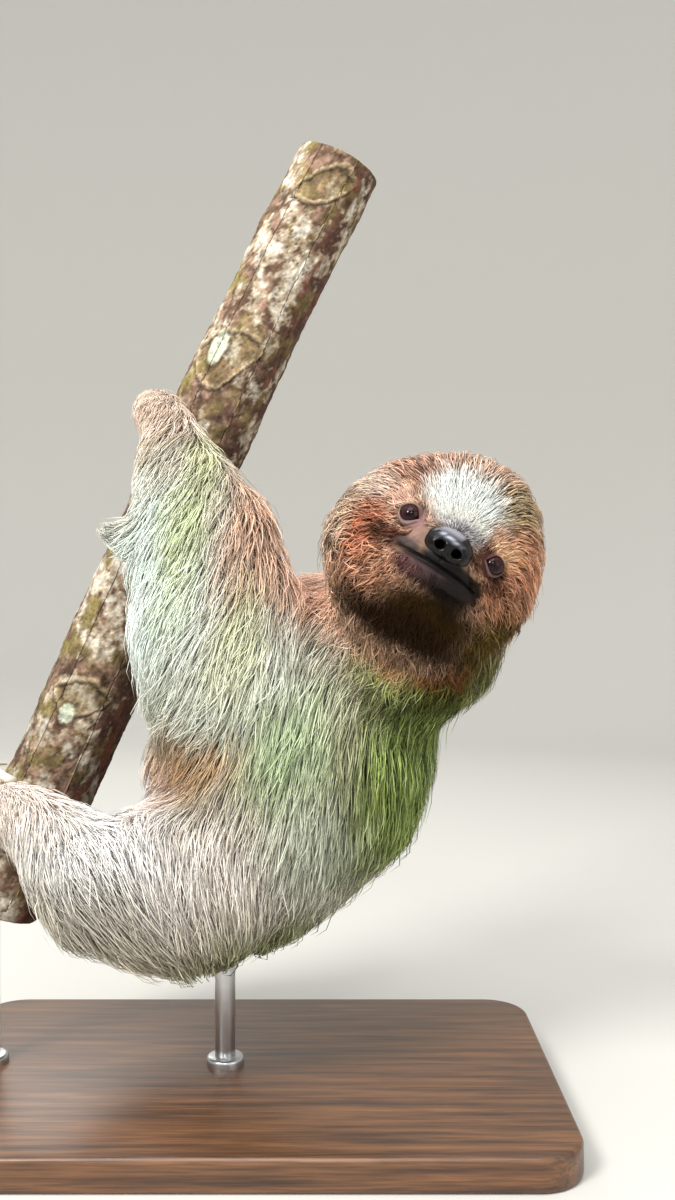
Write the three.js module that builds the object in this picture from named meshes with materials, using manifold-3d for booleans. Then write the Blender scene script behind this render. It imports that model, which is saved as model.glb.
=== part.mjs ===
// Brown-throated three-toed sloth, life size, that hugs a short cut length of a leaning tree trunk
// and looks round over its shoulder. A flat base and two rods hold it up.
// Millimetres, +Z up. The origin is the centre of the underside of the base. The face looks
// towards -Y, the back is towards +X, and the trunk stands on the belly side, towards -X, so the
// animal's left side is the -Y side. Each solid of flesh reaches out to the tips of the coat.
import * as THREE from "three";
import { mergeVertices } from "three/addons/utils/BufferGeometryUtils.js";
import Module from "manifold-3d";

const wasm = await Module();
wasm.setup();

// Driving dimensions
const GAP = 0.3; // between neighbouring solids
const BASE = { length: 360, depth: 220, height: 18, corner: 26, bevel: 2.5 };
const ROD = { radius: 6, intoBase: 6 };
const PERCH_ROD = { x: -150, y: 5, top: 139 };
const BODY_ROD = { x: -11, y: 3, top: 106 };
const PERCH = { foot: [-146, 5, 113], top: [56, 5, 546], radiusFoot: 28, radiusTop: 25.5 };
const BARK = { knot: 0.5, sway: 4 };
const HEAD = { centre: [104.7, -88, 310.6], roll: 31.7, yaw: -1, wide: 54, deep: 50, tall: 52 };
const EYE = { radius: 5.4, apart: 44.6, forward: 41, up: 8.6 };
const EAR = { wide: 4, deep: 7.5, tall: 9, out: 50, back: 14, up: 4 };
const NOSE = { wide: 12.4, deep: 6.5, tall: 8.2, forward: 55.5, up: 3.6 };
const NOSTRIL = { radius: 2.1, deep: 4, apart: 9.4, down: 2 };
const MOUTH = { half: 20, forward: 58.5, bow: 11, up: -6.2, droop: 0.7, slit: 1.1, deep: 4 };
const CLAW = { spacing: 9.5, rootRadius: 3.5, tipRadius: 0.8, arch: 4.5 };

// Stations along the body and the limbs: [x, y, z, half width, half depth]
const TORSO = [
  [-9, 0, 82, 15, 20],
  [-2, 0, 104, 33, 44],
  [9, 0, 140, 59, 66],
  [21, 0, 182, 85, 77],
  [39, 0, 225, 82, 75],
  [47, -4, 268, 60, 64],
  [42, -8, 310, 32, 40],
];
const NECK = [
  [46, 8, 246, 44, 52],
  [80, -24, 264, 52, 49],
  [106, -58, 286, 48, 45],
  [110, -78, 302, 34, 34],
];
const TAIL = [
  [8, 6, 112, 14, 15],
  [14, 8, 98, 13, 13],
  [17, 9, 86, 9, 10],
];
const ELBOW_TUFT = [
  [-44, -60, 312, 14, 12],
  [-60, -62, 324, 8, 8],
  [-73, -63, 334, 2.5, 2.5],
];

const FUR = new THREE.MeshStandardMaterial({ color: 0xb9a88f, roughness: 0.95 });
const PALE_FUR = new THREE.MeshStandardMaterial({ color: 0xcfc7b8, roughness: 0.95 });
const FACE_FUR = new THREE.MeshStandardMaterial({ color: 0x8d6a4f, roughness: 0.92 });
const BARE_SKIN = new THREE.MeshStandardMaterial({ color: 0x2b2829, roughness: 0.45 });
const WET_EYE = new THREE.MeshStandardMaterial({ color: 0x2a1512, roughness: 0.08 });
const HORN = new THREE.MeshStandardMaterial({ color: 0xe3dccb, roughness: 0.4 });
const TREE_BARK = new THREE.MeshStandardMaterial({ color: 0x6f6250, roughness: 0.95 });
const STAINED_OAK = new THREE.MeshStandardMaterial({ color: 0x5a3d28, roughness: 0.5 });
const STEEL = new THREE.MeshStandardMaterial({ color: 0x8d8f92, roughness: 0.35, metalness: 1 });

const X_WAY = new THREE.Vector3(1, 0, 0);
const Y_WAY = new THREE.Vector3(0, 1, 0);
const Z_WAY = new THREE.Vector3(0, 0, 1);
const vec = (p) => new THREE.Vector3(p[0], p[1], p[2]);
const { lerp, clamp, degToRad, radToDeg } = THREE.MathUtils;

// A three.js geometry becomes a solid, turned the right way out if its faces point inwards
function toSolid(geometry) {
  const bare = geometry.clone();
  bare.deleteAttribute("normal");
  bare.deleteAttribute("uv");
  const merged = mergeVertices(bare, 1e-3);
  const corners = new Uint32Array(merged.index.array);
  const build = () =>
    new wasm.Manifold(
      new wasm.Mesh({
        numProp: 3,
        vertProperties: merged.attributes.position.array,
        triVerts: corners,
      }),
    );
  const solid = build();
  if (solid.volume() > 0) return solid;
  for (let i = 0; i < corners.length; i += 3) {
    const second = corners[i + 1];
    corners[i + 1] = corners[i + 2];
    corners[i + 2] = second;
  }
  return build();
}

function toGeometry(solid) {
  const mesh = solid.getMesh();
  const geometry = new THREE.BufferGeometry();
  const places = new Float32Array(mesh.vertProperties);
  geometry.setAttribute("position", new THREE.BufferAttribute(places, 3));
  geometry.setIndex(new THREE.BufferAttribute(new Uint32Array(mesh.triVerts), 1));
  geometry.computeVertexNormals();
  return geometry;
}

function largest(solid) {
  const bodies = solid.decompose();
  return bodies.sort((a, b) => b.volume() - a.volume())[0];
}

const sloth = new THREE.Group();
function add(name, solid, material) {
  const mesh = new THREE.Mesh(toGeometry(largest(solid)), material);
  mesh.name = name;
  sloth.add(mesh);
}

// Lays the rings of a sphere along a smooth path through the stations, so that both ends are round.
// hint is the way of the half width, and capIn and capOut are the lengths of the round ends.
function lump(stations, { sides, rings, hint, capIn, capOut }, grow = 0) {
  const path = new THREE.CatmullRomCurve3(stations.map(vec));
  const sizes = new THREE.CatmullRomCurve3(stations.map((s) => vec([s[3], s[4], 0])));
  const length = path.getLength();
  const sphere = new THREE.SphereGeometry(1, sides, rings);
  const corners = sphere.attributes.position;
  for (let i = 0; i < corners.count; i++) {
    const height = clamp(corners.getY(i), -1, 1);
    const atPole = Math.abs(height) > 0.9999;
    const share = (1 - height) / 2;
    const along = path.getUtoTmapping(share);
    const place = path.getPoint(along);
    const tangent = path.getTangent(along);
    const wideWay = hint.clone().addScaledVector(tangent, -hint.dot(tangent)).normalize();
    const deepWay = tangent.clone().cross(wideWay);
    const size = sizes.getPoint(along);
    const fromIn = Math.min(1, (share * length) / capIn);
    const fromOut = Math.min(1, ((1 - share) * length) / capOut);
    const roundIn = Math.sqrt(1 - (1 - fromIn) ** 2);
    const roundOut = Math.sqrt(1 - (1 - fromOut) ** 2);
    const reach = atPole ? 0 : roundIn * roundOut;
    const angle = Math.atan2(corners.getZ(i), corners.getX(i));
    place.addScaledVector(wideWay, Math.cos(angle) * (size.x + grow) * reach);
    place.addScaledVector(deepWay, Math.sin(angle) * (size.y + grow) * reach);
    if (atPole) place.addScaledVector(tangent, -Math.sign(height) * grow);
    corners.setXYZ(i, place.x, place.y, place.z);
  }
  return toSolid(sphere);
}

// The perch has its own frame: s along its axis and an angle round it, 0 towards +X, 90 towards
// the far side (+Y), 180 towards -X and 270 towards the near side
const perchFoot = vec(PERCH.foot);
const perchAxis = vec(PERCH.top).sub(perchFoot);
const perchLength = perchAxis.length();
perchAxis.normalize();
const perchRight = Y_WAY.clone().cross(perchAxis).normalize();

function onPerch(s, degrees, radius) {
  const share = clamp(s / perchLength, 0, 1);
  const sway = -BARK.sway * Math.sin(Math.PI * share ** 2.2);
  const angle = degToRad(degrees);
  const point = perchFoot.clone().addScaledVector(perchAxis, s);
  point.addScaledVector(perchRight, Math.cos(angle) * radius + sway);
  point.y += Math.sin(angle) * radius;
  return point;
}

function perchRadius(s, degrees) {
  const angle = degToRad(degrees);
  const knots = Math.sin(s * 0.045 + 2 * angle) + Math.sin(s * 0.021 - angle) - 2;
  return lerp(PERCH.radiusFoot, PERCH.radiusTop, s / perchLength) + BARK.knot * knots;
}

function perchSolid(grow = 0) {
  const log = new THREE.CylinderGeometry(1, 1, 1, 16, 11);
  const corners = log.attributes.position;
  for (let i = 0; i < corners.count; i++) {
    const s = (corners.getY(i) + 0.5) * perchLength;
    const degrees = radToDeg(Math.atan2(-corners.getZ(i), corners.getX(i)));
    const onAxis = Math.hypot(corners.getX(i), corners.getZ(i)) < 0.5;
    const atEnd = Math.abs(corners.getY(i)) > 0.499;
    const reached = atEnd ? s + Math.sign(corners.getY(i)) * grow : s;
    const point = onPerch(reached, degrees, onAxis ? 0 : perchRadius(s, degrees) + grow);
    corners.setXYZ(i, point.x, point.y, point.z);
  }
  return toSolid(log);
}

// Limbs run from the body to a hand or foot that lies against the bark
const onBark = (s, degrees, radius, wide, deep) => [...onPerch(s, degrees, radius), wide, deep];
const ARM_LEFT = [
  [16, -34, 218, 30, 26],
  [-3, -50, 240, 48, 35],
  [-10, -56, 281, 50, 36],
  [-13, -57, 315, 45, 32],
  [-29, -45, 354, 30, 25],
  [-38, -26, 386, 19, 17],
  onBark(302, 184, 34, 13, 13),
  onBark(303, 152, 34, 9, 10),
];
const ARM_RIGHT = [
  [34, 28, 226, 26, 26],
  [18, 54, 240, 44, 36],
  [0, 66, 266, 43, 35],
  [-14, 68, 294, 37, 30],
  [-28, 60, 320, 28, 24],
  [-38, 50, 342, 19, 16],
  onBark(262, 92, 37, 12, 15),
  onBark(265, 122, 35, 8, 12),
];
const LEG_LEFT = [
  [14, -24, 142, 36, 36],
  [-20, -45, 137, 49, 40],
  [-50, -57, 139, 44, 36],
  [-74, -60, 141, 38, 33],
  [-94, -53, 158, 28, 26],
  [-112, -43, 170, 21, 20],
  onBark(58, 238, 39, 14, 14),
  onBark(58, 214, 36, 11, 9),
];
const LEG_RIGHT = [
  [14, 24, 136, 36, 36],
  [-16, 48, 128, 47, 40],
  [-46, 64, 122, 42, 36],
  [-71, 68, 119, 38, 32],
  [-92, 62, 127, 30, 26],
  [-108, 52, 139, 22, 19],
  onBark(36, 98, 38, 14, 14),
  onBark(36, 128, 35, 12, 9),
];

const TORSO_MAKE = { sides: 24, rings: 14, hint: X_WAY, capIn: 34, capOut: 30 };
const NECK_MAKE = { sides: 18, rings: 10, hint: Z_WAY, capIn: 24, capOut: 20 };
const TAIL_MAKE = { sides: 10, rings: 6, hint: X_WAY, capIn: 10, capOut: 12 };
const ARM_MAKE = { sides: 16, rings: 18, hint: X_WAY, capIn: 26, capOut: 9 };
const LEG_MAKE = { sides: 16, rings: 18, hint: Z_WAY, capIn: 30, capOut: 9 };
const TUFT_MAKE = { sides: 8, rings: 5, hint: Z_WAY, capIn: 10, capOut: 4 };
const CLAW_MAKE = { sides: 6, rings: 7, hint: perchAxis, capIn: 2, capOut: 3 };

// A claw starts in the hand at `from` degrees round the perch and hooks round it to `to` degrees
function clawSolid(s, from, to) {
  const stations = [0, 1, 2, 3, 4, 5].map((step) => {
    const share = step / 5;
    const thick = lerp(CLAW.rootRadius, CLAW.tipRadius, share ** 1.4);
    const off = thick + GAP + CLAW.arch * Math.sin(Math.PI * share ** 0.8);
    return onBark(s, lerp(from, to, share), PERCH.radiusFoot + off, thick, thick);
  });
  return lump(stations, CLAW_MAKE);
}

// Parts a limb at its joints with cuts GAP wide, square to its path at the stations named
function parted(limb, stations, joints) {
  const pieces = [];
  let rest = limb;
  for (const index of joints) {
    const way = vec(stations[index + 1]).sub(vec(stations[index - 1])).normalize();
    const offset = way.dot(vec(stations[index]));
    pieces.push(rest.trimByPlane(way.clone().negate().toArray(), GAP / 2 - offset));
    rest = rest.trimByPlane(way.toArray(), offset + GAP / 2);
  }
  return [...pieces, rest];
}

function rodSolid({ x, y, top }, grow = 0) {
  const bottom = BASE.height - ROD.intoBase - grow;
  const length = top + grow - bottom;
  const rod = new THREE.CylinderGeometry(ROD.radius + grow, ROD.radius + grow, length, 14);
  rod.rotateX(Math.PI / 2);
  rod.translate(x, y, bottom + length / 2);
  return toSolid(rod);
}

// Trunk of the body, neck and tail
const perch = perchSolid();
const perchCut = perchSolid(GAP);
const perchRodCut = rodSolid(PERCH_ROD, GAP);
const bodyRodCut = rodSolid(BODY_ROD, GAP);
const torsoCut = lump(TORSO, TORSO_MAKE, GAP);
const neckCut = lump(NECK, NECK_MAKE, GAP);
add("torso", lump(TORSO, TORSO_MAKE).subtract(perchCut).subtract(bodyRodCut), FUR);
add("tail", lump(TAIL, TAIL_MAKE).subtract(torsoCut).subtract(bodyRodCut), FUR);

// Limbs: each is made whole, pressed against the bark and the body, and parted at its two joints
const LIMBS = [
  { parts: ["upper_arm_left", "forearm_left", "hand_left"], path: ARM_LEFT, make: ARM_MAKE },
  { parts: ["upper_arm_right", "forearm_right", "hand_right"], path: ARM_RIGHT, make: ARM_MAKE },
  { parts: ["thigh_left", "shin_left", "foot_left"], path: LEG_LEFT, make: LEG_MAKE },
  { parts: ["thigh_right", "shin_right", "foot_right"], path: LEG_RIGHT, make: LEG_MAKE },
];
for (const { parts, path, make } of LIMBS) {
  let limb = lump(path, make);
  if (path === ARM_LEFT) limb = limb.add(lump(ELBOW_TUFT, TUFT_MAKE));
  for (const cut of [torsoCut, neckCut, perchCut, perchRodCut, bodyRodCut]) limb = limb.subtract(cut);
  parted(limb, path, [3, 5]).forEach((piece, i) => add(parts[i], piece, i === 0 ? FUR : PALE_FUR));
}

// Claws: three on each hand and foot
const GRIPS = [
  { name: "claw_hand_left", limb: 0, s: 302, from: 164, to: 92 },
  { name: "claw_hand_right", limb: 1, s: 265, from: 112, to: 168 },
  { name: "claw_foot_left", limb: 2, s: 66, from: 246, to: 172 },
  { name: "claw_foot_right", limb: 3, s: 36, from: 118, to: 172 },
];
for (const { name, limb, s, from, to } of GRIPS) {
  const limbCut = lump(LIMBS[limb].path, LIMBS[limb].make, GAP);
  [-1, 0, 1].forEach((finger, i) => {
    const claw = clawSolid(s + finger * CLAW.spacing, from, to);
    add(`${name}_${i + 1}`, claw.subtract(limbCut).subtract(perchCut), HORN);
  });
}

// The head in its own frame: +X towards its left ear, -Y forwards, +Z up, about the skull's middle.
// Each form swells or sinks the surface about a direction: [x, y, z, millimetres, degrees].
const HEAD_FORMS = [
  [0.0, -1.0, -0.02, 8.5, 21], // muzzle
  [0.0, -0.95, -0.3, 2.5, 15], // chin
  [0.46, -0.87, 0.17, -3.2, 10], // left eye's hollow
  [-0.46, -0.87, 0.17, -3.2, 10], // right eye's hollow
  [0.0, -0.86, 0.42, -1.8, 16], // dip above the muzzle
  [0.9, -0.1, -0.3, -3.0, 30], // left cheek
  [-0.9, -0.3, -0.3, 5.0, 30], // right cheek, pressed out by the shoulder
  [0.15, 0.0, 1.0, 7.5, 34], // crown
  [0.0, -0.5, -0.86, -3.5, 30], // throat
  [0.0, 0.4, 0.9, -2.0, 30], // nape
];

function headForm(grow = 0) {
  const skull = new THREE.SphereGeometry(1, 22, 15);
  const corners = skull.attributes.position;
  for (let i = 0; i < corners.count; i++) {
    // a pole is at the nose, so that the rings lie closest together on the face
    const way = new THREE.Vector3(corners.getX(i), -corners.getY(i), corners.getZ(i)).normalize();
    let radius = 1 / Math.hypot(way.x / HEAD.wide, way.y / HEAD.deep, way.z / HEAD.tall);
    for (const [x, y, z, height, spread] of HEAD_FORMS) {
      const off = radToDeg(way.angleTo(new THREE.Vector3(x, y, z)));
      radius += height * Math.exp(-((off / spread) ** 2));
    }
    way.multiplyScalar(radius + grow);
    corners.setXYZ(i, way.x, way.y, way.z);
  }
  return skull;
}

const turned = new THREE.Quaternion().setFromAxisAngle(Z_WAY, degToRad(HEAD.yaw));
turned.multiply(new THREE.Quaternion().setFromAxisAngle(Y_WAY, degToRad(HEAD.roll)));
const headPlace = new THREE.Matrix4().compose(vec(HEAD.centre), turned, vec([1, 1, 1]));
const inHead = (geometry) => toSolid(geometry.clone().applyMatrix4(headPlace));

function ellipsoid(at, [wide, deep, tall], sides, rings, grow = 0) {
  const form = new THREE.SphereGeometry(1, sides, rings);
  form.rotateX(-Math.PI / 2);
  form.scale(wide + grow, deep + grow, tall + grow);
  form.translate(...at);
  return form;
}

const eyeForm = (side, grow) => {
  const at = [(side * EYE.apart) / 2, -EYE.forward, EYE.up];
  return ellipsoid(at, [EYE.radius, EYE.radius, EYE.radius], 10, 8, grow);
};
const earForm = (side, grow) =>
  ellipsoid([side * EAR.out, EAR.back, EAR.up], [EAR.wide, EAR.deep, EAR.tall], 10, 6, grow);
const noseForm = (grow) =>
  ellipsoid([0, -NOSE.forward, NOSE.up], [NOSE.wide, NOSE.deep, NOSE.tall], 14, 8, grow);
const nostrilForm = (side) => {
  const at = [(side * NOSTRIL.apart) / 2, -NOSE.forward - NOSE.deep, NOSE.up - NOSTRIL.down];
  return ellipsoid(at, [NOSTRIL.radius, NOSTRIL.deep, NOSTRIL.radius], 8, 4);
};

// The closed mouth: a narrow groove under the nose that droops a little at both corners
function mouthForm() {
  const route = [-1, -0.8, -0.4, 0, 0.4, 0.8, 1].map((share) => {
    const forward = MOUTH.forward - MOUTH.bow * share ** 2;
    return vec([share * MOUTH.half, -forward, MOUTH.up - MOUTH.droop * share ** 2]);
  });
  const slit = new THREE.Shape().absellipse(0, 0, MOUTH.slit, MOUTH.deep, 0, Math.PI * 2);
  const extrudePath = new THREE.CatmullRomCurve3(route);
  return new THREE.ExtrudeGeometry(slit, { extrudePath, steps: 10, curveSegments: 2 });
}

let head = inHead(headForm()).subtract(inHead(noseForm(GAP))).subtract(inHead(mouthForm()));
let nose = inHead(noseForm());
for (const [name, side] of [["left", 1], ["right", -1]]) {
  head = head.subtract(inHead(eyeForm(side, GAP))).subtract(inHead(earForm(side, GAP)));
  nose = nose.subtract(inHead(nostrilForm(side)));
  add(`eye_${name}`, inHead(eyeForm(side)), WET_EYE);
  add(`ear_${name}`, inHead(earForm(side)), FACE_FUR);
}
add("head", head, FACE_FUR);
add("nose", nose, BARE_SKIN);
add("neck", lump(NECK, NECK_MAKE).subtract(torsoCut).subtract(inHead(headForm(GAP))), FUR);

// Perch and display stand
function baseSolid() {
  const [x, y] = [BASE.length / 2 - BASE.corner, BASE.depth / 2 - BASE.corner];
  const outline = new THREE.Shape();
  [[x, y], [-x, y], [-x, -y], [x, -y]].forEach(([cx, cy], i) => {
    const start = (i * Math.PI) / 2;
    outline.absarc(cx, cy, BASE.corner - BASE.bevel, start, start + Math.PI / 2);
  });
  const plate = new THREE.ExtrudeGeometry(outline, {
    depth: BASE.height - 2 * BASE.bevel,
    bevelThickness: BASE.bevel,
    bevelSize: BASE.bevel,
    bevelSegments: 1,
    curveSegments: 2,
  });
  plate.translate(0, 0, BASE.bevel);
  return toSolid(plate);
}

add("perch", perch.subtract(perchRodCut), TREE_BARK);
add("stand_base", baseSolid().subtract(perchRodCut).subtract(bodyRodCut), STAINED_OAK);
add("stand_rod_perch", rodSolid(PERCH_ROD), STEEL);
add("stand_rod_body", rodSolid(BODY_ROD), STEEL);

export default sloth;
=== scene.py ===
# A brown-throated three-toed sloth, life size, that hugs a cut length of a leaning trunk
# and looks round over its shoulder, on a display stand.
import math
import time
from functools import partial

import bpy
import numpy as np
from mathutils import Matrix, Vector, noise
from mathutils.bvhtree import BVHTree
from mathutils.kdtree import KDTree


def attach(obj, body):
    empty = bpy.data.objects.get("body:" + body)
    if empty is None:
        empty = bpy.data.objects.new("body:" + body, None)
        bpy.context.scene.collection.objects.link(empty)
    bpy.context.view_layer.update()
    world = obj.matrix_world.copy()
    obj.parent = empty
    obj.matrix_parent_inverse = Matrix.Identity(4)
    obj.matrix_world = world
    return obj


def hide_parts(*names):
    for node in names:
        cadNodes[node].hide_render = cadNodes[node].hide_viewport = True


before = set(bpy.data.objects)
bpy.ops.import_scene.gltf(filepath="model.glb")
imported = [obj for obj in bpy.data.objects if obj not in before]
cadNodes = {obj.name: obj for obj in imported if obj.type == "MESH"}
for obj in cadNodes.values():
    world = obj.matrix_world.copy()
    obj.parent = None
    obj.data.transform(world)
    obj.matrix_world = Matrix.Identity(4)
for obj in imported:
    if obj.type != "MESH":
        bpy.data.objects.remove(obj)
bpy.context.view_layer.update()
started = time.time()
mm = 0.001


def note(words):
    print(f"{time.time() - started:6.1f} s  {words}")


# small helpers

def deselect():
    if bpy.context.object and bpy.context.object.mode != "OBJECT":
        bpy.ops.object.mode_set(mode="OBJECT")
    bpy.ops.object.select_all(action="DESELECT")


def pick(thing):
    deselect()
    thing.select_set(True)
    bpy.context.view_layer.objects.active = thing


def takeNew(name):
    thing = bpy.context.object
    thing.name = thing.data.name = name
    return thing


def primitive(name, kind, **settings):
    deselect()
    getattr(bpy.ops.mesh, f"primitive_{kind}_add")(**settings)
    return takeNew(name)


def addThing(name, mesh):
    thing = bpy.data.objects.new(name, mesh)
    bpy.context.scene.collection.objects.link(thing)
    return thing


def settle(thing):
    # puts a finished piece's place into its mesh
    pick(thing)
    bpy.ops.object.transform_apply(location=True, rotation=True, scale=True)
    return thing


def edit(thing, *steps, edges=None):
    # runs steps in edit mode, on the whole mesh or on chosen edges
    pick(thing)
    bpy.ops.object.mode_set(mode="EDIT")
    bpy.ops.mesh.select_all(action="SELECT")
    if edges is not None:
        bpy.ops.mesh.select_mode(type="EDGE")
        bpy.ops.mesh.select_all(action="DESELECT")
        bpy.ops.object.mode_set(mode="OBJECT")
        thing.data.edges.foreach_set("select", edges)
        bpy.ops.object.mode_set(mode="EDIT")
    for step in steps:
        step()
    bpy.ops.object.mode_set(mode="OBJECT")


def selectEverything():
    bpy.ops.mesh.select_all(action="SELECT")


def outwardNormals():
    bpy.ops.mesh.normals_make_consistent(inside=False)


def triangles():
    bpy.ops.mesh.quads_convert_to_tris(quad_method="SHORTEST_DIAGONAL", ngon_method="BEAUTY")


def pull(items, key, width=1, kind=np.float32):
    # one property of all vertices, edges or corners as rows
    values = np.empty(len(items) * width, kind)
    items.foreach_get(key, values)
    return values.reshape(-1, width)


def finishWith(thing, kind, **settings):
    pick(thing)
    modifier = thing.modifiers.new(kind.lower(), kind)
    for key, value in settings.items():
        setattr(modifier, key, value)
    bpy.ops.object.modifier_apply(modifier=modifier.name)


def places(mesh):
    return pull(mesh.vertices, "co", 3).astype(float)


def putPlaces(mesh, spots):
    mesh.vertices.foreach_set("co", np.asarray(spots, np.float32).ravel())
    mesh.update()


def vertexWays(mesh):
    return pull(mesh.vertex_normals, "vector", 3).astype(float)


def unit(rows):
    return rows / np.maximum(np.linalg.norm(rows, axis=-1, keepdims=True), 1e-9)


def dot(one, other):
    return (one * other).sum(-1, keepdims=True)


def smoothstep(low, high, value):
    share = np.clip((value - low) / (high - low), 0, 1)
    return share * share * (3 - 2 * share)


def bump(value, width):
    return np.exp(-((value / width) ** 2))


def bumpAt(spots, centre, reach):
    return bump(np.linalg.norm(spots - np.array(centre, float), axis=1), reach)


def degreesOff(ways, axis):
    return np.degrees(np.arccos(np.clip(ways @ axis, -1, 1)))


def edgeEnds(mesh):
    return pull(mesh.edges, "vertices", 2, np.int32).T


def nearest(tree, spots):
    # the nearest points on a surface, its normals there and its faces
    found = [tree.find_nearest(Vector(spot))[:3] for spot in spots]
    return [np.array(column) for column in zip(*found)]


def linear(hexColour):
    # sRGB hex to the linear values that the shaders take
    parts = [int(hexColour[i:i + 2], 16) / 255 for i in (1, 3, 5)]
    return np.array([c / 12.92 if c < 0.04045 else ((c + 0.055) / 1.055) ** 2.4 for c in parts])


def plain(colour, count):
    return np.tile(linear(colour), (count, 1))


def lay(colours, colour, share, tone=1):
    # lays a colour over others, as much as share says
    colours += (linear(colour) * tone - colours) * np.clip(share, 0, 1)[:, None]


def paint(thing, name, colours):
    layer = thing.data.color_attributes.new(name, "FLOAT_COLOR", "POINT")
    rgba = np.ones((len(colours), 4), np.float32)
    rgba[:, :3] = colours
    layer.data.foreach_set("color", rgba.ravel())
    thing.data.color_attributes.active_color = layer


def newMaterial(name, painted=None):
    # gives a material, the function that adds a node to it, and the colours painted on the piece
    material = bpy.data.materials.new(name)
    material.use_nodes = True
    tree = material.node_tree

    def add(kind, **inputs):
        fresh = tree.nodes["Principled BSDF"] if kind == "surface" else tree.nodes.new("ShaderNode" + kind)
        for key, value in inputs.items():
            if key[0].islower():
                setattr(fresh, key, value)
            elif isinstance(value, bpy.types.NodeSocket):
                tree.links.new(value, fresh.inputs[key.replace("_", " ")])
            else:
                fresh.inputs[key.replace("_", " ")].default_value = value
        return fresh.outputs

    marks = add("VertexColor", layer_name=painted)["Color"] if painted else None
    return material, add, marks


def tinted(add, marks, value, **span):
    # a colour made lighter and darker by a texture
    tone = add("MapRange", Value=value, **span)["Result"]
    return add("VectorMath", operation="SCALE", Vector=marks, Scale=tone)["Vector"]


def dress(thing, material):
    thing.data.materials.clear()
    thing.data.materials.append(material)


# camera, floor and light

camera = {"at": (0.055, -0.655, 0.290), "lens": 33.6, "sensor": 36}

bpy.ops.object.camera_add(location=camera["at"], rotation=(math.radians(90), 0, 0))
eyepiece = takeNew("camera")
eyepiece.data.lens = camera["lens"]
eyepiece.data.sensor_width = camera["sensor"]
eyepiece.data.clip_start = 0.01
bpy.context.scene.camera = eyepiece

room = {"floorRadius": 1.6, "curve": 0.9, "steps": 14, "wall": 2.6, "colour": "#C2C0BA"}


def makeRoom():
    # a round pale floor that curves up into a low wall all the way round
    floor = primitive("floor", "circle", vertices=96, radius=room["floorRadius"], fill_type="NGON")

    def raiseWall():
        bpy.ops.mesh.select_mode(type="EDGE")
        bpy.ops.mesh.region_to_loop()
        reached = room["floorRadius"]
        for step in range(1, room["steps"] + 1):
            before, turn = (math.pi / 2 * k / room["steps"] for k in (step - 1, step))
            radius = room["floorRadius"] + room["curve"] * math.sin(turn)
            rise = room["curve"] * (math.cos(before) - math.cos(turn))
            bpy.ops.mesh.extrude_edges_move()
            bpy.ops.transform.resize(value=(radius / reached, radius / reached, 1))
            bpy.ops.transform.translate(value=(0, 0, rise))
            reached = radius
        bpy.ops.mesh.extrude_edges_move()
        bpy.ops.transform.translate(value=(0, 0, room["wall"] - room["curve"]))
        selectEverything()
        bpy.ops.mesh.normals_make_consistent(inside=True)

    edit(floor, raiseWall)
    bpy.ops.object.shade_smooth()
    # matt studio paper: no gloss, so the floor stays plain
    paper, add, _ = newMaterial("backdropPaper")
    add("surface", Base_Color=(*linear(room["colour"]), 1), Roughness=0.95, Specular_IOR_Level=0.1)
    dress(floor, paper)


lamps = {
    # name: place, size, watts, colour
    "keyLamp": ((-0.95, -1.15, 1.45), 0.62, 43, (1.0, 0.98, 0.95)),
    "fillLamp": ((1.35, -1.1, 0.7), 1.3, 7, (0.97, 0.98, 1.0)),
    "frontLamp": ((0.1, -1.3, 1.0), 0.22, 5, (1.0, 1.0, 1.0)),
    "topLamp": ((-0.05, -0.5, 1.6), 1.1, 15, (1.0, 1.0, 1.0)),
    "backLamp": ((-0.6, 1.35, 1.1), 0.9, 7, (1.0, 0.99, 0.97)),
}


def makeLamps():
    aim = Vector((0.02, 0, 0.28))
    for name, (place, size, watts, colour) in lamps.items():
        deselect()
        bpy.ops.object.light_add(type="AREA", location=place)
        lamp = takeNew(name)
        lamp.data.shape = "DISK"
        lamp.data.size = size
        lamp.data.energy = watts
        lamp.data.color = colour
        lamp.rotation_euler = (aim - lamp.location).to_track_quat("-Z", "Y").to_euler()
    world = bpy.data.worlds.new("studio")
    world.use_nodes = True
    sky = world.node_tree.nodes["Background"].inputs
    sky["Color"].default_value = (0.93, 0.96, 1.0, 1)
    sky["Strength"].default_value = 1.0
    bpy.context.scene.world = world


makeRoom()
makeLamps()
bpy.context.scene.view_settings.view_transform = "Standard"
note("camera, floor and lamps")

# the head's own frame

# +X is towards the animal's left ear, -Y forwards and +Z up, about the skull's middle; millimetres
head = {"centre": (104.7, -88, 310.6), "roll": 31.7, "yaw": -1, "wide": 54, "deep": 50, "tall": 52}
eye = {"radius": 5.7, "apart": 44.6, "forward": 41, "up": 8.6}
nose = {"wide": 11.6, "deep": 7.6, "tall": 9.4, "forward": 54.3, "up": 4.2}
mouth = {"half": 20.5, "up": -5.9, "droop": 0.8}
headForms = [
    # way (x, y, z), height in mm, spread in degrees
    (0.0, -1.0, -0.02, 8.5, 21),  # muzzle
    (0.0, -0.95, -0.3, 2.5, 15),  # chin
    (0.46, -0.87, 0.17, -3.2, 10),  # left eye's hollow
    (-0.46, -0.87, 0.17, -3.2, 10),  # right eye's hollow
    (0.0, -0.86, 0.42, -1.8, 16),  # dip above the muzzle
    (0.9, -0.1, -0.3, -3.0, 30),  # left cheek
    (-0.9, -0.3, -0.3, 5.0, 30),  # right cheek
    (0.15, 0.0, 1.0, 7.5, 34),  # crown
    (0.0, -0.5, -0.86, -3.5, 30),  # throat
    (0.0, 0.4, 0.9, -2.0, 30),  # nape
]
headPlace = (
    Matrix.Translation(Vector(head["centre"]) * mm)
    @ Matrix.Rotation(math.radians(head["yaw"]), 4, "Z")
    @ Matrix.Rotation(math.radians(head["roll"]), 4, "Y")
)
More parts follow.
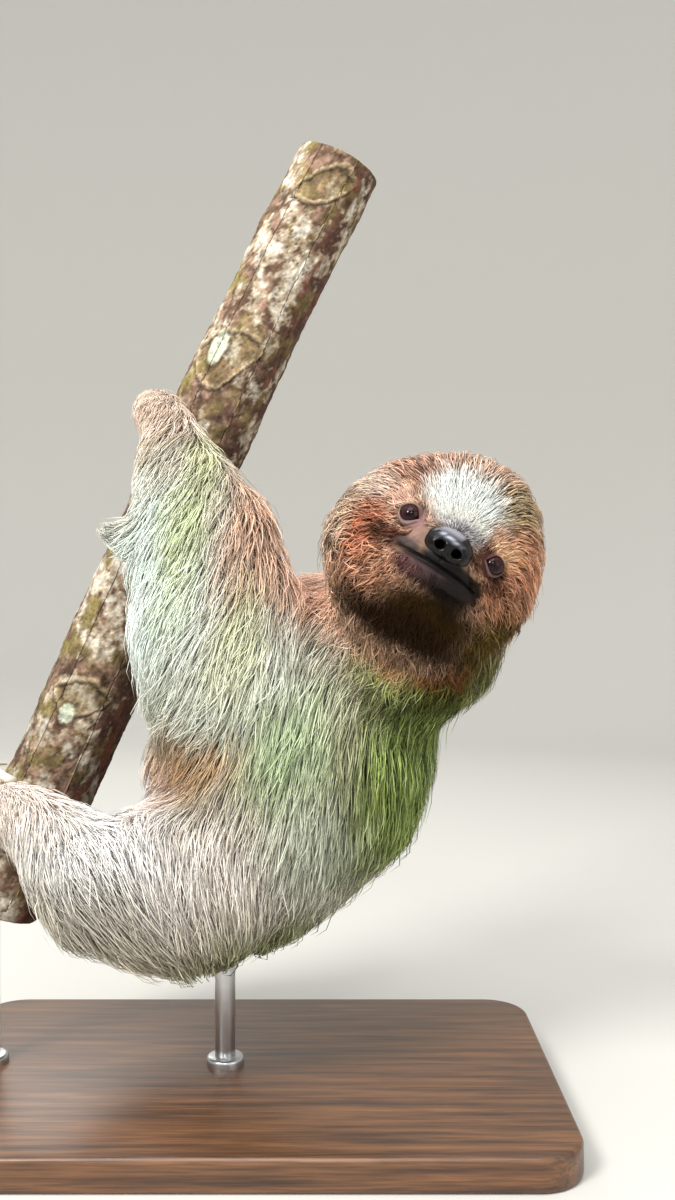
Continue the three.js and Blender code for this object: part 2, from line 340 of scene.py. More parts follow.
forwards = np.array([0.0, -1.0, 0.0])
headTurn = np.array(headPlace.to_3x3())
headCentre = np.array(headPlace.translation)


def inHead(spots):
    # world metres to head millimetres
    return (spots - headCentre) @ headTurn / mm


def outOfHead(spots):
    return spots * mm @ headTurn.T + headCentre


def coatRadius(ways):
    # the head's outline at the tips of its coat
    sizes = np.array([head["wide"], head["deep"], head["tall"]])
    radius = 1 / np.linalg.norm(ways / sizes, axis=1)
    for x, y, z, height, spread in headForms:
        middle = np.array([x, y, z]) / math.sqrt(x * x + y * y + z * z)
        radius += height * bump(degreesOff(ways, middle), spread)
    return radius


# the perch's own frame

# s runs up the trunk's axis in mm; the angle is 0 towards +X, 90 towards +Y and 180 towards -X
perch = {
    "foot": (-146, 5, 113), "top": (56, 5, 546), "radiusFoot": 28, "radiusTop": 25.5, "knot": 0.5, "sway": 4
}
perchFoot = np.array(perch["foot"], float)
perchAxis = np.array(perch["top"], float) - perchFoot
perchLength = float(np.linalg.norm(perchAxis))
perchAxis /= perchLength
perchRight = unit(np.cross((0, 1, 0), perchAxis))


def perchSway(s):
    return -perch["sway"] * np.sin(np.pi * np.clip(s / perchLength, 0, 1) ** 2.2)


def onPerch(s, angle, radius):
    side = np.cos(angle) * radius + perchSway(s)
    spots = perchFoot + np.multiply.outer(s, perchAxis) + np.multiply.outer(side, perchRight)
    spots[..., 1] += np.sin(angle) * radius
    return spots * mm


def barkRadius(s, angle):
    knots = np.sin(s * 0.045 + 2 * angle) + np.sin(s * 0.021 - angle) - 2
    share = s / perchLength
    return perch["radiusFoot"] + (perch["radiusTop"] - perch["radiusFoot"]) * share + perch["knot"] * knots


def keepOffBark(spots, gap):
    # pushes world points out of the trunk, to gap mm over the bark
    local = spots / mm - perchFoot
    s = local @ perchAxis
    right = local @ perchRight - perchSway(s)
    out = np.hypot(right, local[:, 1])
    angle = np.arctan2(local[:, 1], right)
    lack = barkRadius(s, angle) + gap - out
    inside = (lack > 0) & (s > -5) & (s < perchLength + 5)
    push = np.where(inside, lack, 0)[:, None] * mm
    way = np.outer(np.cos(angle), perchRight)
    way[:, 1] += np.sin(angle)
    return spots + way * push


# markings, the same for skin and coat

# every mark: centre, reach (mm), lean about Y (degrees), softness of its edge, colour, strength
bodyMarks = {
    "greyLower": ((5, 0, 140), (75, 120, 42), 0, 0.35, "#DCD4CA", 1.0),
    # partly painted shade: olive, darkened along the rump's lower edge
    "shadedRumpEdge": ((20, 0, 96), (62, 90, 25), 0, 0.5, "#8D9568", 0.85),
    "mintFlank": ((28, 0, 212), (34, 120, 48), 0, 0.45, "#B7C7A2", 1.0),
    "paleCape": ((4, 0, 254), (38, 120, 29), 0, 0.5, "#F1F4EC", 0.9),
    "lowerMint": ((42, 0, 152), (27, 120, 32), 0, 0.6, "#C3CDB9", 0.8),
    "greenBack": ((100, 0, 196), (50, 120, 80), 8, 0.4, "#758846", 0.95),
    # partly painted shade: a duller, darker green over the back's far side
    "shadedFarBack": ((128, 26, 200), (34, 62, 90), 0, 0.5, "#6B7350", 0.75),
    "yellowShoulder": ((82, 0, 250), (24, 120, 19), 25, 0.5, "#838D4E", 0.9),
    "shadedNeck": ((106, -60, 238), (18, 70, 15), 0, 0.5, "#505725", 0.85),
    "tanFlank": ((-28, -60, 200), (30, 70, 14), -12, 0.6, "#C9A984", 0.95),
    "paleTanFlank": ((-52, -50, 186), (18, 80, 12), -20, 0.5, "#E0C2B0", 0.8),
    "paleThigh": ((-68, 0, 150), (52, 120, 36), 0, 0.5, "#F7F6F7", 0.95),
    "greyShin": ((-78, 0, 127), (50, 120, 28), 0, 0.6, "#A5A090", 0.85),
    "creamFoot": ((-112, 0, 184), (30, 120, 24), 0, 0.4, "#DED2C8", 1.0),
    "paleArm": ((-42, 0, 292), (44, 120, 74), 18, 0.3, "#E6F1EA", 1.0),
    "armFringe": ((-20, 0, 230), (36, 120, 20), 28, 0.35, "#D8DDD0", 0.95),
    "greenArm": ((-24, 0, 322), (14, 120, 56), 12, 0.6, "#BDC58E", 0.8),
    "brownArm": ((17, 0, 324), (26, 120, 50), 22, 0.5, "#C6A28B", 0.95),
    "greenElbow": ((2, 0, 262), (18, 120, 30), 14, 0.6, "#D2DAA0", 0.6),
    "tanHand": ((-52, 0, 402), (44, 120, 30), 0, 0.4, "#CDB9A8", 1.0),
    "brownShoulder": ((46, 0, 288), (34, 120, 17), 28, 0.5, "#E2B79E", 1.0),
    "darkNeck": ((80, -70, 266), (17, 40, 13), 20, 0.5, "#BB8A68", 0.85),
    "oliveNeck": ((124, -50, 256), (28, 70, 24), 0, 0.5, "#4E4D1E", 0.9),
    "rustThroat": ((108, -88, 252), (17, 26, 8), 0, 0.5, "#6E2E00", 0.9),
}
headMarks = {
    "crown": ((-28, -12, 36), (28, 28, 18), -20, 0.5, "#9A7665", 0.9),
    "topCrown": ((0, -6, 50), (26, 26, 14), 0, 0.5, "#B89E8A", 0.8),
    "browPatch": ((-3, -34, 31), (22, 34, 16.5), -14, 0.3, "#D0D3CE", 1.0),
    "creamBrow": ((24, -22, 42), (12, 24, 13), 0, 0.6, "#A4936E", 0.75),
    "browTongue": ((1, -50, 18), (14, 16, 9), 0, 0.4, "#D2D2C8", 0.95),
    "leftCheek": ((38, -30, 6), (18, 30, 26), 0, 0.5, "#C48A6A", 0.9),
    "rightCheek": ((-34, -32, -22), (26, 30, 17), 0, 0.4, "#A0755C", 0.95),
    "tanSide": ((-54, -12, -8), (12, 28, 34), 0, 0.5, "#94826F", 0.8),
    "rustPatch": ((-40, -36, -6), (9, 18, 16), -12, 0.6, "#A05C41", 0.8),
    "rustBrow": ((-33, -37, 14), (9, 16, 7), 20, 0.6, "#C9A592", 0.8),
    "paleTemple": ((-45, -20, 14), (9, 18, 9), 0, 0.6, "#D6C2B3", 0.7),
    "eyeCorner": ((-13, -48, 10), (4.5, 10, 6), 0, 0.6, "#8A7267", 0.6),
    "rightStripe": ((-30, -42, -5), (9, 14, 5), -10, 0.5, "#42281A", 0.95),
    "ochreBrow": ((27, -40, 17), (10, 16, 6), -15, 0.6, "#DDB48E", 0.8),
    "leftStripe": ((31, -40, 1), (9, 14, 6), 0, 0.5, "#553426", 0.9),
    "oliveJaw": ((44, -12, -24), (18, 30, 22), 0, 0.5, "#4A3B00", 0.95),
    "lipFringe": ((0, -52, -12), (20, 24, 6.5), 0, 0.3, "#33241F", 1.0),
    "darkChin": ((10, -40, -28), (24, 26, 12), 0, 0.35, "#372505", 1.0),
    "darkThroat": ((2, -22, -39), (38, 36, 9.5), 0, 0.45, "#2A1806", 1.0),
    "lipDark": ((13, -50, -13), (13, 24, 8), 0, 0.5, "#130D09", 0.95),
    "noseEdge": ((3, -54, 15), (13, 20, 6), 0, 0.6, "#858085", 0.9),
    "pinkMuzzle": ((-14.3, -50, 2), (5, 14, 6.5), 0, 0.5, "#A88574", 0.95),
    "underEye": ((-24, -46, -2.5), (6.5, 14, 4.5), 0, 0.5, "#5E3428", 0.9),
    "leftSocket": ((16.5, -47, 10), (5, 12, 8.5), 0, 0.5, "#593425", 0.9),
    # painted shade round the left corner of the mouth
    "shadedLeftCorner": ((19.5, -48, -6.5), (6.5, 20, 5), 0, 0.5, "#1D150E", 0.95),
    "mauveLip": ((-13, -50, -12.5), (8, 24, 5), 0, 0.6, "#6E4746", 0.8),
}
bareMarks = {
    "rightMuzzle": ((-14.2, -50, 2.2), (4.2, 12, 5.6), 0, 0.6, "#7E6359", 0.9),
    "muzzle": ((0, -57, 2.6), (13, 22, 9.8), 0, 0.3, "#463732", 0.75),
    "lips": ((-5, -54, -10.8), (15, 24, 5.6), 0, 0.5, "#5B4446", 0.5),
    "lipShade": ((13, -54, -9.6), (12, 24, 4.2), 0, 0.5, "#0C0A09", 0.85),
    "lipSheen": ((-5, -56, -8.6), (9, 26, 1.3), 3, 0.6, "#5E565B", 0.6),
    "mouthCorner": ((-16.5, -50, -3.8), (7.5, 16, 3.2), 0, 0.5, "#3A302F", 0.95),
    "lipLine": ((-1, -56, -6.5), (24, 26, 2.3), 0, 0.5, "#120D0D", 1.0),
    "upperLip": ((2.5, -58, -3.6), (14.5, 26, 4), 0, 0.35, "#0A0808", 1.0),
    "rightLid": ((-21.6, -44, 8.4), (7.4, 10, 5.6), 0, 0.25, "#755754", 1.0),
    "leftLid": ((21.6, -44, 8.4), (7.2, 10, 5.4), 0, 0.25, "#4A2C25", 1.0),
}


def markShare(spots, mark):
    centre, reach, lean, softness, colour, strength = mark
    off = spots - np.array(centre, float)
    turn = math.radians(lean)
    across = off[:, 0] * math.cos(turn) - off[:, 2] * math.sin(turn)
    along = off[:, 0] * math.sin(turn) + off[:, 2] * math.cos(turn)
    away = np.sqrt((across / reach[0]) ** 2 + (off[:, 1] / reach[1]) ** 2 + (along / reach[2]) ** 2)
    return strength * (1 - smoothstep(1 - softness, 1 + softness, away))


def layMarks(base, spots, marks):
    colours = plain(base, len(spots))
    for mark in marks.values():
        lay(colours, mark[4], markShare(spots, mark))
    return colours


def ripple(spots, size, seed):
    # smooth noise from a few slanted waves, -1 to 1; size in mm
    draw = np.random.default_rng(seed)
    total = np.zeros(len(spots))
    for octave in range(6):
        way = unit(draw.normal(size=3)) / (size * draw.uniform(0.6, 1.5))
        total += np.sin(spots @ way * 2 * math.pi + draw.uniform(0, 7))
    return total / 3.2


def bareness(local):
    # 1 where the face has no coat, from points in the head's frame
    total = np.zeros(len(local))
    for mark in bareMarks.values():
        total = np.maximum(total, markShare(local, mark))
    return total


def headShare(spots):
    # 1 on the head, 0 on the body, from world points
    local = inHead(spots)
    far = np.linalg.norm(local, axis=1)
    return 1 - smoothstep(1.08, 1.2, far / coatRadius(unit(local)))


def markings(spots):
    # the coat's colour at world points
    here = spots / mm
    wander = np.stack([ripple(here, 26, seed) for seed in (1, 2, 3)], 1) * 4
    body = layMarks("#BDB3A1", here + wander, bodyMarks)
    local = inHead(spots)
    ruffle = np.stack([ripple(local, 13, seed) for seed in (4, 5, 6)], 1) * 1.6
    face = layMarks("#A5846D", local + ruffle, headMarks)
    share = headShare(spots)[:, None]
    return body + (face - body) * share


# the skin

# on each part: how far the skin lies under the coat's tips, and the length and width of a lock (mm)
coatOn = {
    "neck": (9, 30, 0.66), "torso": (13, 41, 0.72), "tail": (4, 18, 0.7),
    "upper_arm": (12, 36, 0.7), "forearm": (8, 26, 0.64), "hand": (3, 12, 0.5),
    "thigh": (11, 39, 0.7), "shin": (7, 27, 0.64), "foot": (3, 13, 0.52),
}
skinMake = {"voxel": 2.6, "overlap": 0.5, "smooth": 5, "inset": 12}
sides = ("left", "right")
bodyNodes = ["neck", "torso", "tail"] + [
    f"{part}_{side}" for side in sides for part in ("upper_arm", "forearm", "hand", "thigh", "shin", "foot")
]
fleshNodes = bodyNodes + ["head", "ear_left", "ear_right"]


def coatAt(owners):
    # depth, length and width of the coat at points on the CAD's nodes
    parts = [node.replace("_left", "").replace("_right", "") for node in owners]
    return np.array([coatOn[part] for part in parts], float)


def makeBodyForm():
    # copies of the CAD's flesh and a fine head, grown a little so that they meet, become one form
    deselect()
    copies = []
    for name in bodyNodes:
        copy = cadNodes[name].copy()
        copy.data = copy.data.copy()
        copy.parent = None
        for key in list(copy.keys()):
            del copy[key]
        bpy.context.scene.collection.objects.link(copy)
        copy.select_set(True)
        copies.append(copy)
    bpy.context.view_layer.objects.active = copies[0]
    bpy.ops.object.join()
    form = takeNew("sloth_skin")
    edit(form, partial(bpy.ops.mesh.remove_doubles, threshold=0.02 * mm))
    putPlaces(form.data, places(form.data) + vertexWays(form.data) * skinMake["overlap"] * mm)
    skull = primitive("skull", "uv_sphere", segments=72, ring_count=48, radius=1)
    ways = unit(places(skull.data))
    putPlaces(skull.data, outOfHead(ways * coatRadius(ways)[:, None]))
    form.select_set(True)
    bpy.context.view_layer.objects.active = form
    bpy.ops.object.join()
    finishWith(form, "REMESH", mode="VOXEL", voxel_size=skinMake["voxel"] * mm)
    finishWith(form, "SMOOTH", factor=0.5, iterations=skinMake["smooth"])
    return form


def nearestNodes(spots):
    # the CAD node of flesh nearest to each point
    corners, faces, owners = [], [], []
    base = 0
    for name in bodyNodes:
        mesh = cadNodes[name].data
        corners.append(places(mesh))
        for face in mesh.polygons:
            faces.append([base + corner for corner in face.vertices])
            owners.append(name)
        base += len(mesh.vertices)
    tree = BVHTree.FromPolygons([tuple(c) for c in np.vstack(corners)], faces)
    return [owners[tree.find_nearest(Vector(spot))[2]] for spot in spots]


def smoothOver(mesh, values, times, keep=None):
    # averages values over neighbouring vertices
    one, other = edgeEnds(mesh)
    count = np.bincount(one, minlength=len(values)) + np.bincount(other, minlength=len(values))
    count = np.maximum(count, 1)
    values = np.array(values, float)
    flat = values.reshape(len(values), -1)
    for _ in range(times):
        total = np.zeros_like(flat)
        for column in range(flat.shape[1]):
            total[:, column] = np.bincount(one, flat[other, column], len(flat))
            total[:, column] += np.bincount(other, flat[one, column], len(flat))
        mean = total / count[:, None]
        share = 0.6 if keep is None else 0.6 * (1 - keep[:, None])
        flat += (mean - flat) * share
    return flat.reshape(values.shape)


# the eyes' openings and lids, in mm on a plane square to the line from the skull's middle
lids = {"cover": 0.6, "half": 5.2, "up": 4.0, "low": 4.0, "shift": 0.3, "under": 1.2, "tilt": 4}


def eyeMiddle(side):
    return np.array([side * eye["apart"] / 2, -eye["forward"], eye["up"]])


def aroundEye(ways, side):
    # where each way passes the eye: outwards (from the nose), up, and how far in front
    middle = eyeMiddle(side)
    far = np.linalg.norm(middle)
    axis = middle / far
    outwards = unit(np.cross(axis, (0, 0, 1))) * -side
    upwards = unit(np.cross(outwards, axis)) * -side
    ahead = ways @ axis
    spot = ways / np.maximum(ahead, 0.2)[:, None] * far
    turn = math.radians(lids["tilt"])
    a, b = spot @ outwards, spot @ upwards
    a, b = a * math.cos(turn) + b * math.sin(turn), b * math.cos(turn) - a * math.sin(turn)
    return a, b, ahead


def onBall(ways, side, radius):
    # distance from the skull's middle to the front of a ball round the eye's middle, and a mask
    middle = eyeMiddle(side)
    along = ways @ middle
    inside = along**2 - middle @ middle + radius**2
    return along + np.sqrt(np.maximum(inside, 0)), inside > 0


def lidGap(a, b):
    # under 0 in the eye's opening and over 0 on the lids, in mm
    share = 1 - ((a + lids["shift"]) / lids["half"]) ** 2
    upper = b - lids["up"] * share
    lower = -lids["low"] * share - b
    return np.maximum(upper, lower)


def mouthLevel(x):
    return mouth["up"] - mouth["droop"] * (x / mouth["half"]) ** 2


def smoothMax(one, other, blend):
    nearness = np.maximum(blend - np.abs(one - other), 0) / blend
    return np.maximum(one, other) + nearness**2 * blend / 4


def faceRadius(ways):
    # the skin of the head, as its distance from the skull's middle
    outline = coatRadius(ways)
    spots = ways * outline[:, None]
    x, y, z = spots.T
    front = smoothstep(-8, -30, y)
    back = degreesOff(ways, forwards)
    bare = bareness(spots)
    depth = 2.2 + 5.5 * smoothstep(35, 95, back)
    radius = outline - depth * (1 - bare) - 0.4 * bare
    # muzzle and lips
    off = z - mouthLevel(x)
    wide = smoothstep(mouth["half"] + 2.5, mouth["half"] - 1.5, np.abs(x)) * front
    lipWide = smoothstep(17, 8, np.abs(x)) * front
    radius += 0.35 * bump(off + 2.2, 1.6) * lipWide
    radius -= 1.9 * bump(off, 0.62) * wide
    for side in (-1, 1):
        corner = np.hypot(x - side * mouth["half"], off * 1.1)
        radius -= 0.8 * bump(corner, 1.7) * front
        # crease from the nose's wing down to the corner of the mouth
        crease = np.abs(x) - (13.4 + 0.5 * (nose["up"] - z))
        radius -= 0.35 * bump(crease, 0.6) * smoothstep(-7, -3, z) * smoothstep(8, 3, z) * front
    radius -= 0.4 * bump(x, 0.5) * smoothstep(-7, -5, z) * smoothstep(-1, -3, z) * front
    pad = np.hypot(x / nose["wide"], (z - nose["up"]) / nose["tall"])
    radius += (1.5 * smoothstep(1.45, 0.98, pad) - 5.0 * smoothstep(0.8, 0.45, pad)) * front
    # brow and the lids
    for side in (-1, 1):
        a, b, ahead = aroundEye(ways, side)
        near = ahead > 0.5
        gap = lidGap(a, b)
        reach = np.hypot(a * 0.85, b)
        radius += np.where(near, 1.1 * bump(np.hypot(a, b - 10), 5) + 0.6 * bump(np.hypot(a, b + 9), 4), 0)
        dome, inside = onBall(ways, side, eye["radius"] + lids["cover"])
        dome = np.where(inside & near, dome, 0)
        radius = np.where(near, smoothMax(radius, dome, 2.2), radius)
        wrinkle = -0.55 * bump(gap - 2.9, 0.45) * (b > 0) - 0.4 * bump(gap - 2.5, 0.45) * (b <= 0)
        wrinkle += -0.3 * bump(gap - 4.5, 0.5) + 0.22 * bump(gap - 0.75, 0.45)
        radius += np.where(near & (reach < 14), wrinkle, 0)
        eyeball, seen = onBall(ways, side, eye["radius"])
        opened = smoothstep(0.3, -0.5, gap) * near * seen
        radius += (eyeball - lids["under"] - radius) * opened
    return radius


def faceDetail(local):
    # the longest edge that the skin may have, in mm, from points in the head's frame
    x, y, z = local.T
    target = np.full(len(local), 9.0)
    front = y < -12
    target[front] = 1.5
    muzzleNear = np.hypot(x / 25, (z + 2) / 20) < 1
    target[front & muzzleNear] = 0.7
    for side in (-1, 1):
        off = np.linalg.norm(local - eyeMiddle(side) * 1.06, axis=1)
        target[off < 10.5] = 0.6
        target[off < 7.6] = 0.45
    return target


def refine(skin, rounds):
    # halves the edges that are too long for the face, a round at a time
    for _ in range(rounds):
        mesh = skin.data
        spots = inHead(places(mesh))
        target = faceDetail(spots)
        one, other = edgeEnds(mesh)
        length = np.linalg.norm(spots[one] - spots[other], axis=1)
        long = length > 1.25 * np.minimum(target[one], target[other])
        if not long.any():
            break
        edit(skin, bpy.ops.mesh.subdivide, selectEverything, triangles, edges=long)
        placeHead(skin)


def placeHead(skin):
    # moves the head's vertices on to the skin's surface
    spots = places(skin.data)
    local = inHead(spots)
    share = skinShare(spots)
    ways = unit(local)
    target = outOfHead(ways * faceRadius(ways)[:, None])
    putPlaces(skin.data, spots + (target - spots) * share[:, None])


def skinShare(spots):
    # 1 where the head's own surface shows, 0 on the neck
    local = inHead(spots)
    far = np.linalg.norm(local, axis=1) / coatRadius(unit(local))
    return 1 - smoothstep(1.03, 1.16, far)


# places where the coat runs over a crease between two parts: centre and reach in mm
creases = [
    ((33, -70, 290), 26), ((54, -70, 272), 20), ((16, -74, 168), 26), ((-20, -60, 160), 16),
    ((30, 70, 268), 26), ((15, 8, 94), 24), ((-66, -56, 330), 12),
]


elbowTuft = (-72, -58, 332)


def makeSkin():
    skin = makeBodyForm()
    note(f"form of {len(skin.data.vertices)} vertices")
    outline = places(skin.data)
    ease = np.zeros(len(outline))
    for centre, reach in creases:
        ease = np.maximum(ease, bumpAt(outline / mm, centre, reach))
    outline = smoothOver(skin.data, outline, 24, keep=1 - ease)
    putPlaces(skin.data, outline)
    ways = vertexWays(skin.data)
    depth = smoothOver(skin.data, coatAt(nearestNodes(outline))[:, 0], 14)
    solid = BVHTree.FromPolygons([tuple(p) for p in outline], [tuple(f.vertices) for f in skin.data.polygons])
    for i in range(len(outline)):
        # a thin place keeps some flesh
        start = Vector(outline[i] - ways[i] * 0.6 * mm)
        reached = solid.ray_cast(start, Vector(-ways[i]), 60 * mm)[3]
        if reached is not None:
            depth[i] = min(depth[i], 0.3 * reached / mm + 0.3)
    depth = smoothOver(skin.data, depth, 6)
    share = skinShare(outline)
    inset = outline - ways * (depth * (1 - share))[:, None] * mm
    inset = smoothOver(skin.data, inset, skinMake["inset"], keep=share)
    stub = bumpAt(outline / mm, elbowTuft, 15)
    inset = smoothOver(skin.data, inset, 60, keep=1 - stub)
    putPlaces(skin.data, inset)
    placeHead(skin)
    refine(skin, 6)
    edit(skin, triangles)
    bpy.ops.object.shade_smooth()
    return skin, solid


skin, outlineTree = makeSkin()
note(f"skin of {len(skin.data.polygons)} faces")

# which way the coat lies

# place (mm), reach (mm), way the hair runs
lieMarks = [
    ((-48, -40, 392), 26, (-0.25, -0.25, -0.95)),  # back of the left hand
    ((-34, -62, 352), 34, (-0.35, -0.1, -0.9)),  # forearm
    ((-20, -84, 308), 34, (-0.4, 0.0, -0.9)),  # elbow
    ((-62, -55, 326), 18, (-0.9, -0.15, 0.38)),  # tuft behind the elbow
    ((-34, -80, 262), 34, (-0.42, 0.0, -0.9)),  # upper arm
    ((-40, -72, 226), 26, (-0.75, 0.0, -0.6)),  # ragged end of the arm's fringe
    ((14, -80, 316), 22, (-0.2, -0.1, -1.0)),
    ((40, -60, 288), 22, (-0.75, -0.2, -0.55)),  # shoulder
    ((70, -72, 272), 20, (-0.9, -0.25, -0.35)),
    ((24, -84, 252), 32, (-0.35, 0.0, -0.9)),
    ((62, -72, 250), 26, (-0.35, 0.0, -0.9)),
    ((-26, -60, 200), 22, (-0.7, 0.0, -0.7)),  # short hair behind the arm
    ((10, -76, 190), 34, (-0.28, 0.0, -0.95)),
    ((-20, -74, 160), 24, (-0.1, 0.0, -1.0)),
    ((-55, -88, 158), 26, (0.25, 0.0, -1.0)),  # thigh
    ((-80, -84, 150), 26, (0.5, 0.0, -0.85)),
    ((-60, -84, 128), 26, (0.75, 0.0, -0.65)),
    ((-20, -78, 122), 26, (0.25, 0.0, -0.95)),
    ((-98, -64, 174), 18, (0.2, -0.1, -1.0)),
    ((-112, -54, 188), 18, (0.45, -0.2, -0.8)),  # foot
    ((-44, 60, 330), 34, (-0.3, 0.15, -0.9)),  # right arm
    ((-10, 88, 280), 40, (-0.2, 0.1, -1.0)),
    ((-70, 90, 126), 34, (0.35, 0.1, -0.9)),  # right leg
    ((-104, 60, 146), 20, (0.35, 0.2, -0.9)),
]
faceHub = np.array([0, -57, 13], float)  # the hair of the face runs out from the bridge of the nose


def lie(spots):
    here = spots / mm
    ways = np.tile(np.array([0.0, 0.0, -0.12]), (len(here), 1))
    for centre, reach, way in lieMarks:
        ways += bumpAt(here, centre, reach)[:, None] * unit(np.array(way, float))
    local = inHead(spots)
    away = unit(local - faceHub)
    for side in (-1, 1):
        middle = eyeMiddle(side)
        away += unit((local - middle) * (1, 0.2, 1)) * bumpAt(local, middle, 12)[:, None] * 1.8
    sink = smoothstep(-45, 0, local[:, 1]) * 0.7 + smoothstep(0, -30, local[:, 2]) * 0.3
    away = unit(away) @ headTurn.T + np.outer(sink, (0, 0, -1))
    share = headShare(spots)[:, None]
    return unit(unit(ways) * (1 - share) + unit(away) * share)


# the coat

# where the hair is longer or shorter: place and reach (mm), times the length, free to stand out (mm)
tufts = [
    ((-30, -66, 194), 22, 0.5, 0),  # short hair of the flank behind the arm
    ((-32, -76, 240), 22, 1.3, 5),  # ragged end of the arm's fringe
    ((-60, -58, 328), 13, 1.5, 5),  # wisps at the elbow
    ((-84, -78, 128), 24, 1.25, 4),  # hanging hair of the thigh
    ((10, -50, 92), 40, 1.1, 1),  # and of the rump
    ((-38, -62, 100), 14, 1.5, 7),
    ((146, -60, 268), 20, 1.5, 7),  # long hair beside the jaw
    ((58, -70, 318), 18, 1.3, 5),
    ((-120, -48, 196), 9, 0.5, 0),  # short hair at the claws
    ((92, -120, 278), 24, 0.6, 0),  # and on the chin
]
coatPieces = {
    # piece: locks, clump (mm), how far it gathers, wave (mm), lift and tousle (degrees), finish
    "coat_face": (12300, 2.6, 0.45, 0.6, 34, 14, "face_fur"),
    "coat_head": (11500, 4.2, 0.65, 1.5, 30, 13, "face_fur"),
    "coat_neck": (9000, 4.6, 0.6, 1.2, 28, 11, "body_fur"),
    "coat_back": (12000, 4.8, 0.6, 0.9, 24, 6, "body_fur"),
    "coat_rump": (12000, 4.8, 0.5, 0.9, 26, 6, "body_fur"),
    "coat_arm_left": (12000, 4.8, 0.55, 1.0, 28, 9, "body_fur"),
    "coat_arm_right": (6000, 4.8, 0.55, 1.0, 28, 9, "body_fur"),
    "coat_leg_left": (12000, 4.6, 0.45, 0.9, 28, 7, "body_fur"),
    "coat_leg_right": (6000, 4.6, 0.45, 0.9, 28, 7, "body_fur"),
}
rings = 3  # cross-sections of a lock before its tip
lockTaper = (0.6, 1.0, 0.72)
# painted shade along a lock, from its root to its tip
lockShade = (0.45, 0.8, 1.0)
quickShare = 1.0
patch = 0.003  # a tuft's place on the OFBake map


def measureSkin():
    # what the coat needs to know at each vertex and face of the skin
    mesh = skin.data
    spots = places(mesh)
    faces = pull(mesh.polygons, "vertices", 3, np.int32)
    owners = nearestNodes(spots)
    local = inHead(spots)
    onHead = headShare(spots)
    back = degreesOff(unit(local), forwards)
    headLength = np.interp(back, (20, 35, 55, 80, 125), (5, 10, 18, 26, 32))
    nearEye = np.zeros(len(spots))
    for side in (-1, 1):
        nearEye += bumpAt(local, eyeMiddle(side), 13)
    headLength *= 1 - 0.45 * np.minimum(nearEye, 1)
    headWidth = np.interp(back, (20, 35, 55, 80, 125), (0.34, 0.46, 0.66, 0.78, 0.8))
    headDepth = 2.2 + 7.5 * smoothstep(30, 85, back)
    depth, length, width = smoothOver(mesh, coatAt(owners), 10).T
    length += (headLength - length) * onHead
    even = np.ones(len(spots))
    for place, reach, longer, free in tufts:
        factor = 1 + (longer - 1) * bumpAt(spots / mm, place, reach)
        length *= factor
        even = np.minimum(even, factor)
    width += (headWidth - width) * onHead
    depth += (headDepth - depth) * onHead
    return {
        "spots": spots, "faces": faces, "owners": np.array(owners), "local": local, "onHead": onHead,
        "length": length, "width": width, "depth": depth, "ways": vertexWays(mesh),
        "bare": bareness(local) * onHead, "even": even,
    }


def pieceOfFace(facts):
    # the coat piece that each face of the skin belongs to
    first = facts["faces"][:, 0]
    owners = facts["owners"][first]
    spots = facts["spots"][first] / mm
    pieces = np.full(len(first), "coat_back", dtype="<U20")
    pieces[(owners == "torso") & (spots[:, 2] <= 188) | (owners == "tail")] = "coat_rump"
    pieces[owners == "neck"] = "coat_neck"
    for side in sides:
        arm = np.isin(owners, [f"{part}_{side}" for part in ("upper_arm", "forearm", "hand")])
        leg = np.isin(owners, [f"{part}_{side}" for part in ("thigh", "shin", "foot")])
        pieces[arm] = f"coat_arm_{side}"
        pieces[leg] = f"coat_leg_{side}"
    onHead = facts["onHead"][first] > 0.5
    pieces[onHead] = "coat_head"
    pieces[onHead & (facts["local"][first][:, 1] < -24)] = "coat_face"
    return pieces


def unwrapOf(name, faces, spots):
    # an unwrap of the skin under one coat piece: the map places of each face's corners
    used, corners = np.unique(faces, return_inverse=True)
    corners = corners.reshape(faces.shape)
    mesh = bpy.data.meshes.new(name + "_unwrap")
    mesh.from_pydata(spots[used].tolist(), [], corners.tolist())
    thing = addThing(name + "_unwrap", mesh)
    edit(thing, partial(
        bpy.ops.uv.smart_project, angle_limit=math.radians(66), island_margin=0.004, scale_to_bounds=True
    ))
    flat = pull(mesh.uv_layers.active.data, "uv", 2)
    bpy.data.objects.remove(thing)
    bpy.data.meshes.remove(mesh)
    return flat.reshape(-1, 3, 2).astype(float)


def keepInside(spots, allow):
    # draws world points back to allow mm over the CAD's outline
    near, ways, _ = nearest(outlineTree, spots)
    over = np.maximum(dot(spots - near, ways)[:, 0] / mm - allow, 0)
    return np.where((over > 0)[:, None], near + ways * allow[:, None] * mm, spots)


